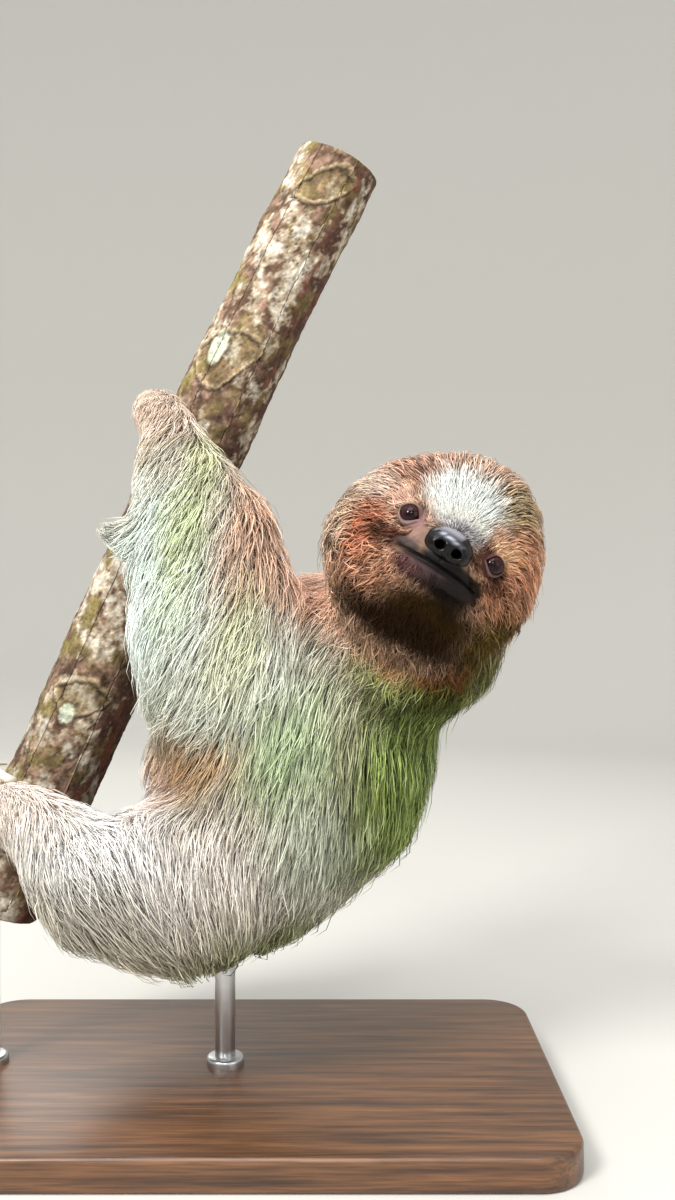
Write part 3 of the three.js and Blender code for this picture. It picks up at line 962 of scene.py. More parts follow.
def traceLocks(roots, ways, depth, length, lift, tousle, seed):
    # the middle line of every lock: it rises out of the skin, lies along it and stays in the outline
    draw = np.random.default_rng(seed)
    count = len(roots)
    layer = draw.uniform(0.15, 1.12, count)
    stray = draw.uniform(size=count) < 0.05
    rise = np.radians(lift * draw.uniform(0.6, 1.3, count) + 14 * stray)
    allow = draw.uniform(-1.5, 1.0, count) + stray * draw.uniform(1, 5, count) * np.minimum(1, length / 25)
    hanging = smoothstep(0.1, 0.8, -ways[:, 2]) * smoothstep(10, 25, length)
    allow = allow + hanging * draw.uniform(-2, 3, count) + 3.2 * headShare(roots)
    for place, reach, longer, free in tufts:
        allow = allow + free * bumpAt(roots / mm, place, reach) * draw.uniform(0, 1, count)
    # the brow's hair is combed flat and the cheeks' is curly
    local = inHead(roots)
    combed = headShare(roots) * smoothstep(4, 16, local[:, 2])
    tousle = tousle * (1 - 0.55 * combed + 0.6 * headShare(roots) * (1 - combed))
    spin = np.radians(draw.normal(0, 1, count) * tousle + ripple(roots / mm, 11, seed) * tousle)
    curl = np.radians(draw.normal(0, 1.2, count) * tousle)
    lines = [roots - ways * 0.4 * mm]
    normals = [ways]
    here, normal = roots, ways
    step = length / rings * mm
    for ring in range(1, rings + 1):
        share = ring / rings
        run = lie(here)
        free = smoothstep(0.05, 0.6, -normal[:, 2])[:, None] * share
        run = unit(run - dot(run, normal) * normal * (1 - free))
        aside = np.cross(normal, run)
        turn = spin + curl * (share - 0.4) * 2
        run = unit(run * np.cos(turn)[:, None] + aside * np.sin(turn)[:, None])
        tilt = rise * (1 - share) ** 1.5 * 2
        ahead = here + (run * np.cos(tilt)[:, None] + normal * np.sin(tilt)[:, None]) * step[:, None]
        near, _, face = nearest(skinTree, ahead)
        normal = faceWays[face]
        height = dot(ahead - near, normal)[:, 0] / mm
        want = depth * layer * (1 - (1 - share) ** 2)
        pull = np.where(height < want, 1.0, np.where(stray, 0.2, 0.75) * (1 - free[:, 0]))
        here = ahead + normal * ((want - height) * pull)[:, None] * mm
        here = keepInside(here, allow)
        lines.append(here)
        normals.append(normal)
    return np.stack(lines, 1), np.stack(normals, 1), layer


def gather(lines, roots, clump, strength, draw):
    # locks near one another draw together towards their tips
    guides = draw.permutation(len(roots))[: max(1, int(len(roots) * 0.09 * (4 / clump) ** 0.5))]
    tree = KDTree(len(guides))
    for i, guide in enumerate(guides):
        tree.insert(Vector(roots[guide]), i)
    tree.balance()
    chosen = guides[[tree.find(Vector(root))[1] for root in roots]]
    shares = np.linspace(0, 1, lines.shape[1]) ** 1.3 * strength
    pull = shares[None, :, None] * draw.uniform(0.4, 1.3, len(roots))[:, None, None]
    offset = lines[chosen] - lines
    far = np.linalg.norm(offset, axis=2, keepdims=True)
    offset *= np.minimum(1, 5 * mm / np.maximum(far, 1e-9))
    return lines + offset * np.minimum(pull, 0.95), chosen


def growCoat(name, seed):
    count, clump, strength, wave, lift, tousle, finish = coatPieces[name]
    count = int(count * quickShare)
    draw = np.random.default_rng(seed)
    mine = np.flatnonzero(facePieces == name)
    faces = facts["faces"][mine]
    spots = facts["spots"]
    one, two, three = (spots[faces[:, i]] for i in range(3))
    area = np.linalg.norm(np.cross(two - one, three - one), axis=1) / 2
    mean = {key: facts[key][faces].mean(1) for key in ("length", "width", "bare")}
    # even cover: small hairs stand closer, bare skin has none, and the side against the bark has few
    weight = area / (mean["length"] * mean["width"]) * (1 - smoothstep(0.1, 0.6, mean["bare"]))
    middle = (one + two + three) / 3
    hidden = np.linalg.norm(keepOffBark(middle, 9) - middle, axis=1) > 0
    weight *= np.where(hidden, 0.35, 1.0)
    reached = np.cumsum(weight)
    chosen = np.searchsorted(reached, (np.arange(count) + draw.uniform(size=count)) / count * reached[-1])
    chosen = np.minimum(chosen, len(mine) - 1)
    a, b = draw.uniform(size=(2, count))
    over = a + b > 1
    a, b = np.where(over, 1 - a, a), np.where(over, 1 - b, b)
    shares = np.stack([1 - a - b, a, b], 1)
    corners = faces[chosen]

    def at(key):
        # a fact about the skin at the roots of the locks
        return (facts[key][corners] * (shares[:, :, None] if facts[key].ndim == 2 else shares)).sum(1)

    roots, ways = at("spots"), unit(at("ways"))
    length = at("length") * draw.uniform(0.7, 1.25, count)
    width = at("width") * draw.uniform(0.65, 1.3, count) / math.sqrt(quickShare)
    depth = at("depth")
    flat = unwrapOf(name, faces, spots)
    mapPlaces = (flat[chosen] * shares[:, :, None]).sum(1)
    lines, normals, layer = traceLocks(roots, ways, depth, length, lift, tousle, seed)
    lines, guide = gather(lines, roots, clump, strength, draw)
    # a slow wave, shared by a clump
    phase = (draw.uniform(0, 7, count)[guide] + draw.normal(0, 0.5, count))[:, None]
    along = np.linspace(0, 1, rings + 1)[None, :]
    runs = unit(np.gradient(lines, axis=1))
    across = unit(np.cross(runs, normals))
    sway = np.sin(phase + along * 5.0) * along * wave * mm
    lines = lines + across * sway[:, :, None]
    lines = keepOffBark(lines.reshape(-1, 3), 0.7).reshape(lines.shape)
    local = inHead(lines[:, -1])
    keep = (bareness(local) * headShare(lines[:, -1])) < 0.55
    # painted light and shade: the locks on top are painted pale, as if sunlit, and those below dark, partly
    # for the darker undercoat and partly as painted shade
    tone = np.interp(layer, (0.15, 0.5, 1.0), (0.6, 0.92, 1.18)) * np.exp(draw.normal(0, 0.16, count))
    tone *= np.exp(draw.normal(0, 0.12, count))[guide]
    tone = 1 + (tone - 1) * at("even") ** 1.5
    pieces = buildLocks(name, lines[keep], normals[keep], width[keep], mapPlaces[keep], tone[keep], draw)
    dress(pieces, coatMaterial)
    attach(pieces, "root")
    note(f"{name}: {keep.sum()} locks, {sum(len(p.vertices) - 2 for p in pieces.data.polygons)} triangles")


def buildLocks(name, lines, normals, width, mapPlaces, tone, draw):
    # three-sided tapered locks, closed at the root and pointed at the tip
    count = len(lines)
    runs = unit(np.gradient(lines, axis=1))
    across = unit(np.cross(runs, normals))
    upwards = np.cross(across, runs)
    taper = np.array(lockTaper)[None, :, None] * (width * mm)[:, None, None]
    sections = []
    for wide, high in ((-0.5, -0.16), (0.5, -0.16), (0.0, 0.34)):
        offset = across[:, :rings] * taper * wide + upwards[:, :rings] * taper * high
        sections.append(lines[:, :rings] + offset)
    body = np.stack(sections, 2).reshape(count, -1, 3)
    spots = np.concatenate([body, lines[:, rings:]], 1)
    tip = rings * 3
    each = tip + 1
    # the faces of one lock, from ring to ring, round the tip and over the root, and their map places
    faces, flat = [], []
    for ring in range(rings):
        low, high = ring / rings, (ring + 1) / rings
        for side in range(3):
            p, q = ring * 3 + side, ring * 3 + (side + 1) % 3
            left, right = side / 3, (side + 1) / 3
            if ring < rings - 1:
                faces.append([p, p + 3, q + 3, q])
                flat += [(left, low), (left, high), (right, high), (right, low)]
            else:
                faces.append([p, tip, q])
                flat += [(left, low), ((side + 0.5) / 3, 1), (right, low)]
    faces.append([0, 1, 2])
    flat += [(0, -0.25), (1, -0.25), (0.5, -0.02)]
    loops, flat = np.concatenate(faces), np.array(flat)
    starts = np.cumsum([0] + [len(face) for face in faces[:-1]])
    mesh = bpy.data.meshes.new(name)
    mesh.vertices.add(count * each)
    mesh.vertices.foreach_set("co", spots.astype(np.float32).ravel())
    allLoops = (np.arange(count)[:, None] * each + loops).astype(np.int32).ravel()
    mesh.loops.add(len(allLoops))
    mesh.loops.foreach_set("vertex_index", allLoops)
    allStarts = (np.arange(count)[:, None] * len(loops) + starts).astype(np.int32).ravel()
    mesh.polygons.add(len(allStarts))
    mesh.polygons.foreach_set("loop_start", allStarts)
    mesh.update(calc_edges=True)
    mesh.polygons.foreach_set("use_smooth", np.ones(len(allStarts), bool))
    layer = mesh.uv_layers.new(name="OFBake")
    centred = np.clip(mapPlaces, patch, 1 - patch)[:, None, :] + (flat - 0.5)[None] * patch
    layer.data.foreach_set("uv", centred.astype(np.float32).ravel())
    thing = addThing(name, mesh)
    # colour: the marking under the lock's outer half, darker at the root as painted shade deep in the coat,
    # and paler when the lock is light
    base = markings(lines[:, rings - 1])
    grey = base.mean(1, keepdims=True)
    dull = draw.uniform(-0.2, 0.2, count)[:, None] + 0.2 * np.clip(tone - 1, 0, 0.6)[:, None]
    # pale hair is even, and brown and green hair is streaked
    swing = np.interp(grey[:, 0], (0.02, 0.08, 0.2, 0.3, 0.42, 0.7), (0.9, 2.7, 2.8, 1.6, 0.9, 0.3))
    tone = np.maximum(1 + (tone - 1) * swing, 0.15)
    base = (base + (grey - base) * dull) * tone[:, None]
    shades = np.repeat(np.array(lockShade), 3)[None, :, None]
    shades = 1 - (1 - shades) * np.interp(grey, (0.1, 0.6), (1, 0.35))[:, None]
    colours = np.concatenate([base[:, None] * shades, base[:, None] * 1.15], 1)
    paint(thing, "coatColour", np.clip(colours, 0, 0.95).reshape(-1, 3))
    return thing


def coatFinish():
    # coarse animal hair: a soft sheen along the strands and no hard gloss
    material, add, marks = newMaterial("slothHair", "coatColour")
    add("surface", Base_Color=marks, Roughness=0.6, Specular_IOR_Level=0.1)
    return material


facts = measureSkin()
facePieces = pieceOfFace(facts)
faceWays = unit(facts["ways"][facts["faces"]].mean(1))
skinTree = BVHTree.FromPolygons(facts["spots"].tolist(), facts["faces"].tolist())
coatMaterial = coatFinish()
note("coat measured")
for order, pieceName in enumerate(coatPieces):
    growCoat(pieceName, 100 + order)

# skin colours and finish

def skinFinish():
    # soft hide under the hair, and moist pebbled skin where the face is bare
    material, add, marks = newMaterial("slothSkin", "coatColour")
    bare = add("Attribute", attribute_name="bareSkin")["Fac"]
    where = add("TexCoord")["Object"]
    pebbles = add("TexVoronoi", Vector=where, Scale=1 / 0.0011)["Distance"]
    blotches = add("TexNoise", Vector=where, Scale=1 / 0.004)["Fac"]
    tint = tinted(add, marks, blotches, To_Min=0.72, To_Max=1.25)
    gloss = add("MapRange", Value=bare, To_Min=0.8, To_Max=0.52)["Result"]
    grain = add("Bump", Height=pebbles, Strength=0.35, Distance=0.0002)["Normal"]
    add("surface", Base_Color=tint, Roughness=gloss, Normal=grain, Specular_IOR_Level=0.12)
    return material


def dressSkin():
    spots = places(skin.data)
    local = inHead(spots)
    bare = bareness(local) * headShare(spots)
    colours = markings(spots)
    # painted shade: the skin under the coat is darkened, less where the hair is pale
    colours *= np.interp(colours.mean(1), (0.1, 0.6), (0.5, 0.95))[:, None]
    bareColours = layMarks("#3A2E2E", local, bareMarks)
    # the lids darken to a moist black edge round the eye
    ways = unit(local)
    for side in (-1, 1):
        a, b, ahead = aroundEye(ways, side)
        gap = lidGap(a, b)
        lay(bareColours, "#1A1213", bump(gap - 0.2, 0.6) * (ahead > 0.7) * 0.85)
        rim = bump(gap - 1.0, 0.45) * (b < 0) * (ahead > 0.7)
        lay(bareColours, "#BCA4A5", rim * (0.3 if side > 0 else 0.55))
    x, y, z = local.T
    slit = bump(z - mouthLevel(x), 1.0) * smoothstep(mouth["half"] + 2, mouth["half"], np.abs(x)) * (y < -20)
    lay(bareColours, "#070505", slit)
    colours += (bareColours - colours) * bare[:, None]
    paint(skin, "coatColour", colours)
    layer = skin.data.attributes.new("bareSkin", "FLOAT", "POINT")
    layer.data.foreach_set("value", bare.astype(np.float32))
    dress(skin, skinFinish())
    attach(skin, "root")
    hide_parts(*fleshNodes)


dressSkin()
note("skin dressed")

# eyes

eyeball = {"bulge": 0.35, "cornea": 40, "pupil": 26, "iris": 44, "limbus": 56}


def eyeFinish():
    # glass eyes of a dark animal: a clear wet coat over a near black iris
    material, add, marks = newMaterial("darkGlassEye", "irisColour")
    add("surface", Base_Color=marks, Roughness=0.06, IOR=1.36, Specular_IOR_Level=0.3)
    return material


def makeEye(sideName, side, finish):
    middle = outOfHead(eyeMiddle(side)[None, :])[0]
    ball = settle(primitive(
        f"eyeball_{sideName}", "uv_sphere",
        segments=72, ring_count=48, radius=eye["radius"] * mm, location=middle.tolist(),
    ))
    spots = places(ball.data)
    ways = unit(spots - middle)
    gaze = unit(unit(np.array(camera["at"]) - middle) + unit(headTurn @ (side * 0.25, -1, 0.05)))
    off = degreesOff(ways, gaze)
    swell = eyeball["bulge"] * (1 - (np.minimum(off, eyeball["cornea"]) / eyeball["cornea"]) ** 2)
    putPlaces(ball.data, spots + ways * swell[:, None] * mm)
    rings = np.arctan2(ways @ unit(np.cross(gaze, (0, 0, 1))), ways[:, 2])
    streaks = (0.8 + 0.3 * np.sin(rings * 37) * np.sin(rings * 23 + 1))[:, None]
    colours = plain("#1A0C0C", len(spots))
    lay(colours, "#35171A", smoothstep(eyeball["limbus"], eyeball["iris"], off), streaks)
    lay(colours, "#140809", smoothstep(eyeball["pupil"] + 12, eyeball["pupil"] - 12, off))
    paint(ball, "irisColour", colours)
    bpy.ops.object.shade_smooth()
    dress(ball, finish)
    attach(ball, "root")
    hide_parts(f"eye_{sideName}")


wetEye = eyeFinish()
makeEye("left", 1, wetEye)
makeEye("right", -1, wetEye)

# nose

nostril = {"apart": 9.2, "down": 1.2, "wide": 3.0, "tall": 2.2, "deep": 6.5, "turn": 24}
padForm = {"square": 2.5, "cushion": 0.62, "slope": 0.38}


def noseFinish():
    # black, finely pebbled and moist, so that it catches a soft highlight
    material, add, marks = newMaterial("moistNoseLeather", "noseColour")
    pebbles = add("TexVoronoi", Vector=add("TexCoord")["Object"], Scale=1 / 0.0008)["Distance"]
    grain = add("Bump", Height=pebbles, Strength=0.3, Distance=0.00015)["Normal"]
    add("surface", Base_Color=marks, Normal=grain, Roughness=0.27, Specular_IOR_Level=0.22)
    return material


def makeNose():
    pad = primitive("nose_pad", "uv_sphere", segments=160, ring_count=100, radius=1)
    ways = places(pad.data)
    x, y, z = ways.T
    # a rounded square in front view, with a flat front and a bridge that slopes back
    across = np.hypot(x, z)
    corner = (np.abs(x) ** padForm["square"] + np.abs(z) ** padForm["square"]) ** (1 / padForm["square"])
    fuller = across / np.maximum(corner, 1e-6)
    spots = ways * (nose["wide"], nose["deep"], nose["tall"]) * np.stack([fuller, np.ones(len(x)), fuller], 1)
    spots[:, 0] *= 1 - 0.18 * smoothstep(0.2, 1, z) - 0.18 * smoothstep(0.3, 1, -z)
    front = smoothstep(0.2, -0.3, y)
    forward = nose["deep"] * np.maximum(1 - across**2, 0) ** padForm["cushion"]
    slope = padForm["slope"] * np.maximum(spots[:, 2], 0) ** 1.1
    spots[:, 1] = np.where(y < 0, -forward, spots[:, 1]) + slope
    # wings of the nose and the groove between them
    for side in (-1, 1):
        wing = np.hypot(spots[:, 0] - side * 7.6, spots[:, 2] + 1.8)
        spots[:, 1] -= 1.5 * bump(wing, 4.0) * front
        spots[:, 0] += side * 0.4 * bump(wing, 4.5)
    spots[:, 1] += 1.1 * bump(spots[:, 0], 1.3) * smoothstep(1.5, -3, spots[:, 2]) * front
    shade = np.ones(len(ways))
    for side in (-1, 1):
        turn = math.radians(nostril["turn"])
        outward = spots[:, 0] * side - nostril["apart"] / 2
        along = spots[:, 2] + nostril["down"]
        u = outward * math.cos(turn) - along * math.sin(turn)
        v = outward * math.sin(turn) + along * math.cos(turn)
        # steep above and with a gently sloping floor, narrower towards the wing
        tall = nostril["tall"] * np.where(v < 0, 1.5, 1.0) * (1 - 0.12 * np.clip(u, -2, 3))
        hole = np.hypot(u / nostril["wide"], v / tall)
        spots[:, 1] += nostril["deep"] * smoothstep(1.12, -0.25, hole) * front
        spots[:, 1] -= 0.1 * bump(hole - 1.4, 0.35) * front
        shade -= 0.8 * smoothstep(1.0, 0.5, hole) * front
    # the bridge is greyer where the leather thins out into short hair, and this grey is partly painted sheen,
    # stronger towards -X
    colours = plain("#080606", len(spots))
    lay(colours, "#7F7D85", smoothstep(3.8, 7.5, spots[:, 2] - 3 * smoothstep(3, 6, spots[:, 0])))
    # painted highlight: a pale bluish sheen along the top of the pad's front, broken up by noise
    paintedSheen = bump(spots[:, 2] - 3.2 + 0.1 * spots[:, 0], 1.2) * bump(spots[:, 0] + 2.5, 6) * front
    paintedSheen *= np.clip(0.6 + 0.6 * ripple(spots, 3, 41), 0, 1)
    lay(colours, "#B9BCCB", paintedSheen * 0.7)
    colours *= np.clip(shade, 0.15, 1)[:, None]
    spots += (0, -nose["forward"], nose["up"])
    putPlaces(pad.data, outOfHead(spots))
    paint(pad, "noseColour", colours)
    pick(pad)
    bpy.ops.object.shade_smooth()
    dress(pad, noseFinish())
    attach(pad, "root")
    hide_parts("nose")


makeNose()
note("eyes and nose")

# claws

claw = {"spacing": 9.5, "root": 3.5, "tip": 0.8, "arch": 4.5, "tall": 0.82}
grips = {
    # hand or foot: place up the trunk (mm), from and to round it (degrees)
    "hand_left": (302, 164, 92),
    "hand_right": (265, 112, 168),
    "foot_left": (66, 246, 172),
    "foot_right": (36, 118, 172),
}


def hornFinish():
    # old ivory horn with fine length lines, darker at the root
    material, add, marks = newMaterial("clawHorn", "hornColour")
    lines = add("TexNoise", Vector=add("TexCoord")["Object"], Scale=1 / 0.0012)["Fac"]
    grain = add("Bump", Height=lines, Strength=0.2, Distance=0.00015)["Normal"]
    add(
        "surface", Base_Color=marks, Normal=grain, Roughness=0.38,
        Subsurface_Weight=0.15, Subsurface_Radius=(0.002, 0.0014, 0.0009),
    )
    return material


def makeClaws():
    horn = hornFinish()
    for grip, (s, fromAngle, toAngle) in grips.items():
        for finger in (-1, 0, 1):
            hook = primitive(f"hook_{grip}_{finger + 2}", "uv_sphere", segments=20, ring_count=40, radius=1)
            ways = places(hook.data)
            share = (1 - ways[:, 2]) / 2
            turned = np.radians(fromAngle + (toAngle - fromAngle) * share)
            thick = claw["root"] + (claw["tip"] - claw["root"]) * share**1.4
            reach = np.sqrt(np.clip(1 - np.maximum(0, 1 - share / 0.06) ** 2, 0, 1))
            reach = reach * np.sqrt(np.clip(1 - np.maximum(0, 1 - (1 - share) / 0.05) ** 2, 0, 1))
            around = np.arctan2(ways[:, 1], ways[:, 0])
            along = np.cos(around) * thick * reach * claw["tall"]
            outward = np.sin(around) * thick * reach
            ridge = 0.25 * np.maximum(np.sin(around), 0) ** 6 * thick * reach
            middle = perch["radiusFoot"] + thick + 0.3 + claw["arch"] * np.sin(np.pi * share**0.8)
            spread = finger * claw["spacing"] * (1 - 0.12 * share)
            spots = onPerch(s + spread + along, turned, middle + outward + ridge)
            putPlaces(hook.data, spots)
            tone = np.interp(share, (0, 0.35, 0.8, 1), (0.72, 0.95, 1.05, 0.9))[:, None]
            streak = (1 + 0.06 * np.sin(around * 9 + finger))[:, None]
            paint(hook, "hornColour", linear("#DDD5C2") * tone * streak)
            edit(hook, outwardNormals)
            bpy.ops.object.shade_smooth()
            dress(hook, horn)
            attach(hook, "root")
            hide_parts(f"claw_{grip}_{finger + 2}")


makeClaws()
note("claws")

# the perch

bark = {"rows": 372, "around": 168, "capRows": 8, "radius": 27}
# old leaf scars, each between an upper and a lower ridge that meet at its two corners
leafScars = [
    # middle angle and half width (degrees), left and right corner up the trunk, rise, drop (mm), ridge (mm)
    (276, 39, 448, 465, 12, 12, 0.9),
    (255, 48, 344, 358, 9, 26, 1.0),
    (70, 44, 402, 392, 10, 14, 0.8),
    (318, 34, 232, 240, 8, 10, 0.7),
    (268, 40, 132, 140, 9, 13, 0.8),
    (150, 40, 250, 262, 9, 12, 0.8),
    (300, 36, 66, 72, 8, 10, 0.7),
]
# up the trunk (mm), angle (degrees), reach up and round (mm)
knots = [(347, 244, 10, 6), (216, 292, 5, 4), (122, 262, 6, 4.5), (300, 60, 7, 5)]


def cloud(spots, size, seed):
    # natural noise about 0; size in mm
    start = Vector((seed * 17.3, seed * 5.1, seed * 29.7))
    return np.array([noise.fractal(Vector(spot) / size + start, 0.8, 2.1, 4) for spot in spots]) * 0.9


def barkShape(s, angle):
    # height over the plain trunk in mm, and masks of ridges, of the painted shade under them and round the
    # knots, of scars and of knots
    flat = np.stack([s, np.cos(angle) * bark["radius"], np.sin(angle) * bark["radius"]], 1)
    coarse, fine = cloud(flat * (0.6, 1, 1), 14, 1), cloud(flat * (0.8, 1, 1), 4.5, 2)
    height = 0.9 * coarse + 0.55 * fine
    crack = bump(cloud(flat, 8, 3), 0.04) * smoothstep(-0.1, 0.25, cloud(flat, 20, 9))
    height -= 0.5 * crack
    ridges, under, within, ovals = np.zeros((4, len(s)))
    for middle, half, left, right, rise, drop, ridge in leafScars:
        turned = ((np.degrees(angle) - middle + 180) % 360 - 180) / half
        level = left + (right - left) * (turned + 1) / 2 + 1.6 * fine + 2.4 * coarse
        arch = np.clip(1 - turned**2, 0, 1)
        shown = smoothstep(1.08, 0.92, np.abs(turned))
        for line in (s - level - rise * arch, s - level + drop * arch):
            height += ridge * shown * (bump(line, 1.3) - 0.6 * bump(line + 2.4, 1.2))
            ridges = np.maximum(ridges, bump(line, 1.2) * shown)
            under = np.maximum(under, bump(line + 2.2, 1.3) * shown)
        inside = smoothstep(-1, 1, s - level + drop * arch) * smoothstep(1, -1, s - level - rise * arch)
        within = np.maximum(within, inside * shown)
    for place, degrees, high, wide in knots:
        across = (angle - math.radians(degrees) + math.pi) % (2 * math.pi) - math.pi
        ring = np.hypot((s - place) / high, across * bark["radius"] / wide) + 0.25 * fine
        height += 0.8 * bump(ring - 1, 0.25) + 0.35 * smoothstep(1, 0.4, ring)
        under = np.maximum(under, 0.8 * bump(ring - 1.15, 0.18))
        ovals = np.maximum(ovals, smoothstep(1.02, 0.85, ring))
    return height, flat, coarse, fine, crack, ridges, under, within, ovals


def barkFinish():
    # rough bark: matt, with fine flakes and specks under a millimetre
    material, add, marks = newMaterial("lichenedBark", "barkColour")
    specks = add("TexNoise", Vector=add("TexCoord")["Object"], Scale=1 / 0.0022, Detail=6.0)["Fac"]
    tint = tinted(add, marks, specks, From_Min=0.3, From_Max=0.7, To_Min=0.62, To_Max=1.3)
    flakes = add("Bump", Height=specks, Strength=0.6, Distance=0.0008)["Normal"]
    add("surface", Base_Color=tint, Normal=flakes, Roughness=0.88, Specular_IOR_Level=0.25)
    return material


def makePerch():
    trunk = primitive(
        "bark_trunk", "grid", x_subdivisions=bark["rows"], y_subdivisions=bark["around"], size=1
    )
    grid = places(trunk.data)
    row = np.round((grid[:, 0] + 0.5) * bark["rows"])
    angle = (grid[:, 1] + 0.5) * 2 * math.pi
    caps, last = bark["capRows"], bark["rows"]
    s = np.clip((row - caps) / (last - 2 * caps), 0, 1) * perchLength
    reach = np.clip(np.minimum(row, last - row) / caps, 0, 1)
    height, flat, coarse, fine, crack, ridges, under, within, ovals = barkShape(s, angle)
    onSide = smoothstep(0.85, 1, reach)
    rounding = np.interp(reach, (0, 0.9, 1), (0, 0.93, 1))
    radius = (barkRadius(s, angle) + height * onSide) * rounding
    endDip = np.where(reach < 0.9, 0.4, 0) + np.where(reach >= 1, 0, 0.25) * fine
    outwards = np.where(row < last / 2, 1, -1)
    spots = onPerch(s + endDip * outwards, angle, radius)
    putPlaces(trunk.data, spots)
    # brown bark with pale lichen in torn blotches, purple-brown towards +X, moss tints, cream cut ends
    rightSide = smoothstep(-0.1, 0.9, np.cos(angle - 0.2) + 0.5 * coarse)
    leftSide = smoothstep(0.2, 0.9, -np.cos(angle) + 0.5 * coarse)
    colours = plain("#584334", len(s))
    lay(colours, "#836A59", smoothstep(-0.1, 0.3, cloud(flat, 7, 4)))
    lay(colours, "#4C322C", rightSide * 0.85)
    lay(colours, "#7D7340", smoothstep(0.0, 0.4, cloud(flat, 18, 5)) * (0.35 + 0.35 * leftSide))
    pale = cloud(flat * (0.75, 1, 1), 15, 6) + 0.55 * cloud(flat, 4, 7)
    lay(colours, "#9C8D78", smoothstep(0.05, 0.13, pale - 0.18 * rightSide) * 0.85)
    lay(colours, "#C6BFB0", smoothstep(0.35, 0.43, pale - 0.2 * rightSide) * 0.7)
    lay(colours, "#7A6A45", within * 0.45)
    lay(colours, "#33271D", crack * 0.75)
    # painted shade under the ridges and round the knots
    lay(colours, "#2B1F18", under * 0.8)
    lay(colours, "#AE9C7E", ridges * 0.5)
    lay(colours, "#AFB7A4", ovals * 0.8)
    stain = smoothstep(0.25, 0.45, cloud(flat * (0.3, 1, 1), 9, 8))
    lay(colours, "#6B4234", stain * smoothstep(0.75, 1, np.cos(angle + 0.35)))
    # painted shade and light: darker where the bark lies low and lighter where it stands out
    colours *= (1 + 0.3 * height + 0.25 * fine)[:, None].clip(0.45, 1.5)
    colours *= np.interp(s, (120, 400), (0.84, 1.0))[:, None]
    growth = 0.86 + 0.14 * np.sin(reach * 2 * math.pi * 9 + 0.6 * np.sin(angle * 3))
    lay(colours, "#C9A777", reach < 0.92, growth[:, None])
    paint(trunk, "barkColour", np.clip(colours, 0.005, 0.9))
    edit(trunk, partial(bpy.ops.mesh.remove_doubles, threshold=0.01 * mm), outwardNormals)
    bpy.ops.object.shade_smooth()
    dress(trunk, barkFinish())
    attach(trunk, "root")
    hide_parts("perch")


makePerch()
note("perch")

# display stand

board = {
    "length": 360, "depth": 220, "height": 18,
    "corner": 26, "cornerSteps": 14, "edge": 2.5, "edgeSteps": 5,
}
rods = {
    "perch": {"x": -150, "y": 5, "top": 139},
    "body": {"x": -11, "y": 3, "top": 106},
}
rodMake = {"radius": 6, "into": 6, "edge": 0.5, "collar": 11, "collarHigh": 5, "collarEdge": 2.2}


def oakFinish():
    # stained oak under satin varnish: open grain along the board, 1 to 3 mm apart
    material, add, _ = newMaterial("stainedOak")
    where = add("TexCoord")["Object"]
    stretched = add("Mapping", Vector=where, Scale=(1 / 0.12, 1 / 0.006, 1 / 0.006))["Vector"]
    figure = add("TexNoise", Vector=stretched, Scale=1.0, Detail=5.0)["Fac"]
    fine = add("Mapping", Vector=where, Scale=(1 / 0.03, 1 / 0.0011, 1 / 0.0011))["Vector"]
    pores = add("TexNoise", Vector=fine, Scale=1.0, Detail=2.0)["Fac"]
    ramp = add("ValToRGB", Fac=figure)["Color"]
    for stop, place, colour in zip(ramp.node.color_ramp.elements, (0.3, 0.72), ("#3A2416", "#7A5233")):
        stop.position = place
        stop.color = (*linear(colour), 1)
    tint = tinted(add, ramp, pores, From_Min=0.35, From_Max=0.6, To_Min=0.6, To_Max=1.05)
    grain = add("Bump", Height=pores, Strength=0.25, Distance=0.0003)["Normal"]
    add("surface", Base_Color=tint, Normal=grain, Roughness=0.42, Coat_Weight=0.25, Coat_Roughness=0.25)
    return material


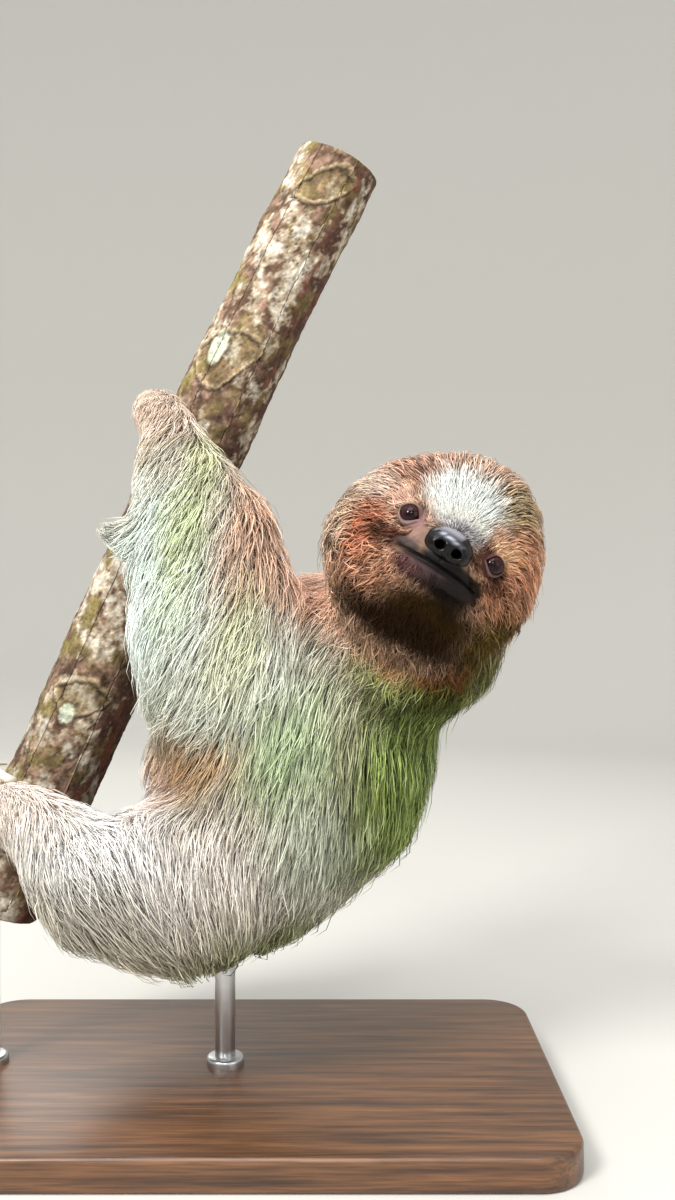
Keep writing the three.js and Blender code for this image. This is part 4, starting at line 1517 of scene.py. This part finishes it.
def steelFinish():
    # brushed stainless rod: fine lines round it that spread the highlight
    material, add, _ = newMaterial("brushedSteel")
    lines = add("Mapping", Vector=add("TexCoord")["Object"], Scale=(1 / 0.02, 1 / 0.02, 1 / 0.0004))["Vector"]
    brushed = add("TexNoise", Vector=lines, Scale=1.0)["Fac"]
    gloss = add("MapRange", Value=brushed, To_Min=0.22, To_Max=0.45)["Result"]
    add("surface", Base_Color=(*linear("#C4C5C7"), 1), Metallic=1.0, Roughness=gloss)
    return material


def bevelEdges(thing, width, segments, test):
    # bevels the edges whose two heights pass the test
    heights = places(thing.data)[:, 2]
    chosen = test(*(heights[ends] for ends in edgeEnds(thing.data)))
    bevel = partial(bpy.ops.mesh.bevel, offset=width * mm, segments=segments, affect="EDGES")
    edit(thing, bevel, edges=chosen)


def level(one, other):
    return np.abs(one - other) < 1e-6


def shadeEdges():
    # only once all bevels are cut, because the marks of sharp edges stay
    bpy.ops.object.shade_smooth_by_angle(angle=math.radians(35))


def makeBoard():
    size = (board["length"] * mm, board["depth"] * mm, board["height"] * mm)
    plate = settle(primitive("stand_board", "cube", size=1, location=(0, 0, size[2] / 2), scale=size))
    bevelEdges(plate, board["corner"], board["cornerSteps"], lambda one, other: ~level(one, other))
    bevelEdges(plate, board["edge"], board["edgeSteps"], level)
    shadeEdges()
    dress(plate, oakFinish())
    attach(plate, "root")
    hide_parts("stand_base")


def makeTurned(name, rod, radius, bottom, top, edge, segments, test):
    # an upright round bar of steel, with its edges broken
    bar = settle(primitive(
        name, "cylinder", vertices=64, radius=radius * mm, depth=(top - bottom) * mm,
        location=(rod["x"] * mm, rod["y"] * mm, (top + bottom) / 2 * mm),
    ))
    bevelEdges(bar, edge, segments, test)
    shadeEdges()
    return bar


def makeRods():
    steel = steelFinish()
    floor = board["height"]
    top = floor + rodMake["collarHigh"]
    for name, rod in rods.items():
        post = makeTurned(
            f"stand_post_{name}", rod, rodMake["radius"], floor - rodMake["into"], rod["top"],
            rodMake["edge"], 2, level,
        )
        dress(post, steel)
        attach(post, "root")
        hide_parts(f"stand_rod_{name}")
        # a turned collar covers the rod's hole in the board
        collar = makeTurned(
            f"stand_collar_{name}", rod, rodMake["collar"], floor, top, rodMake["collarEdge"], 5,
            lambda one, other: np.minimum(one, other) > top * mm - 1e-6,
        )
        dress(collar, steel)
        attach(collar, "root")


makeBoard()
makeRods()
note("stand")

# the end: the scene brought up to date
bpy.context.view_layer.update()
note("done")
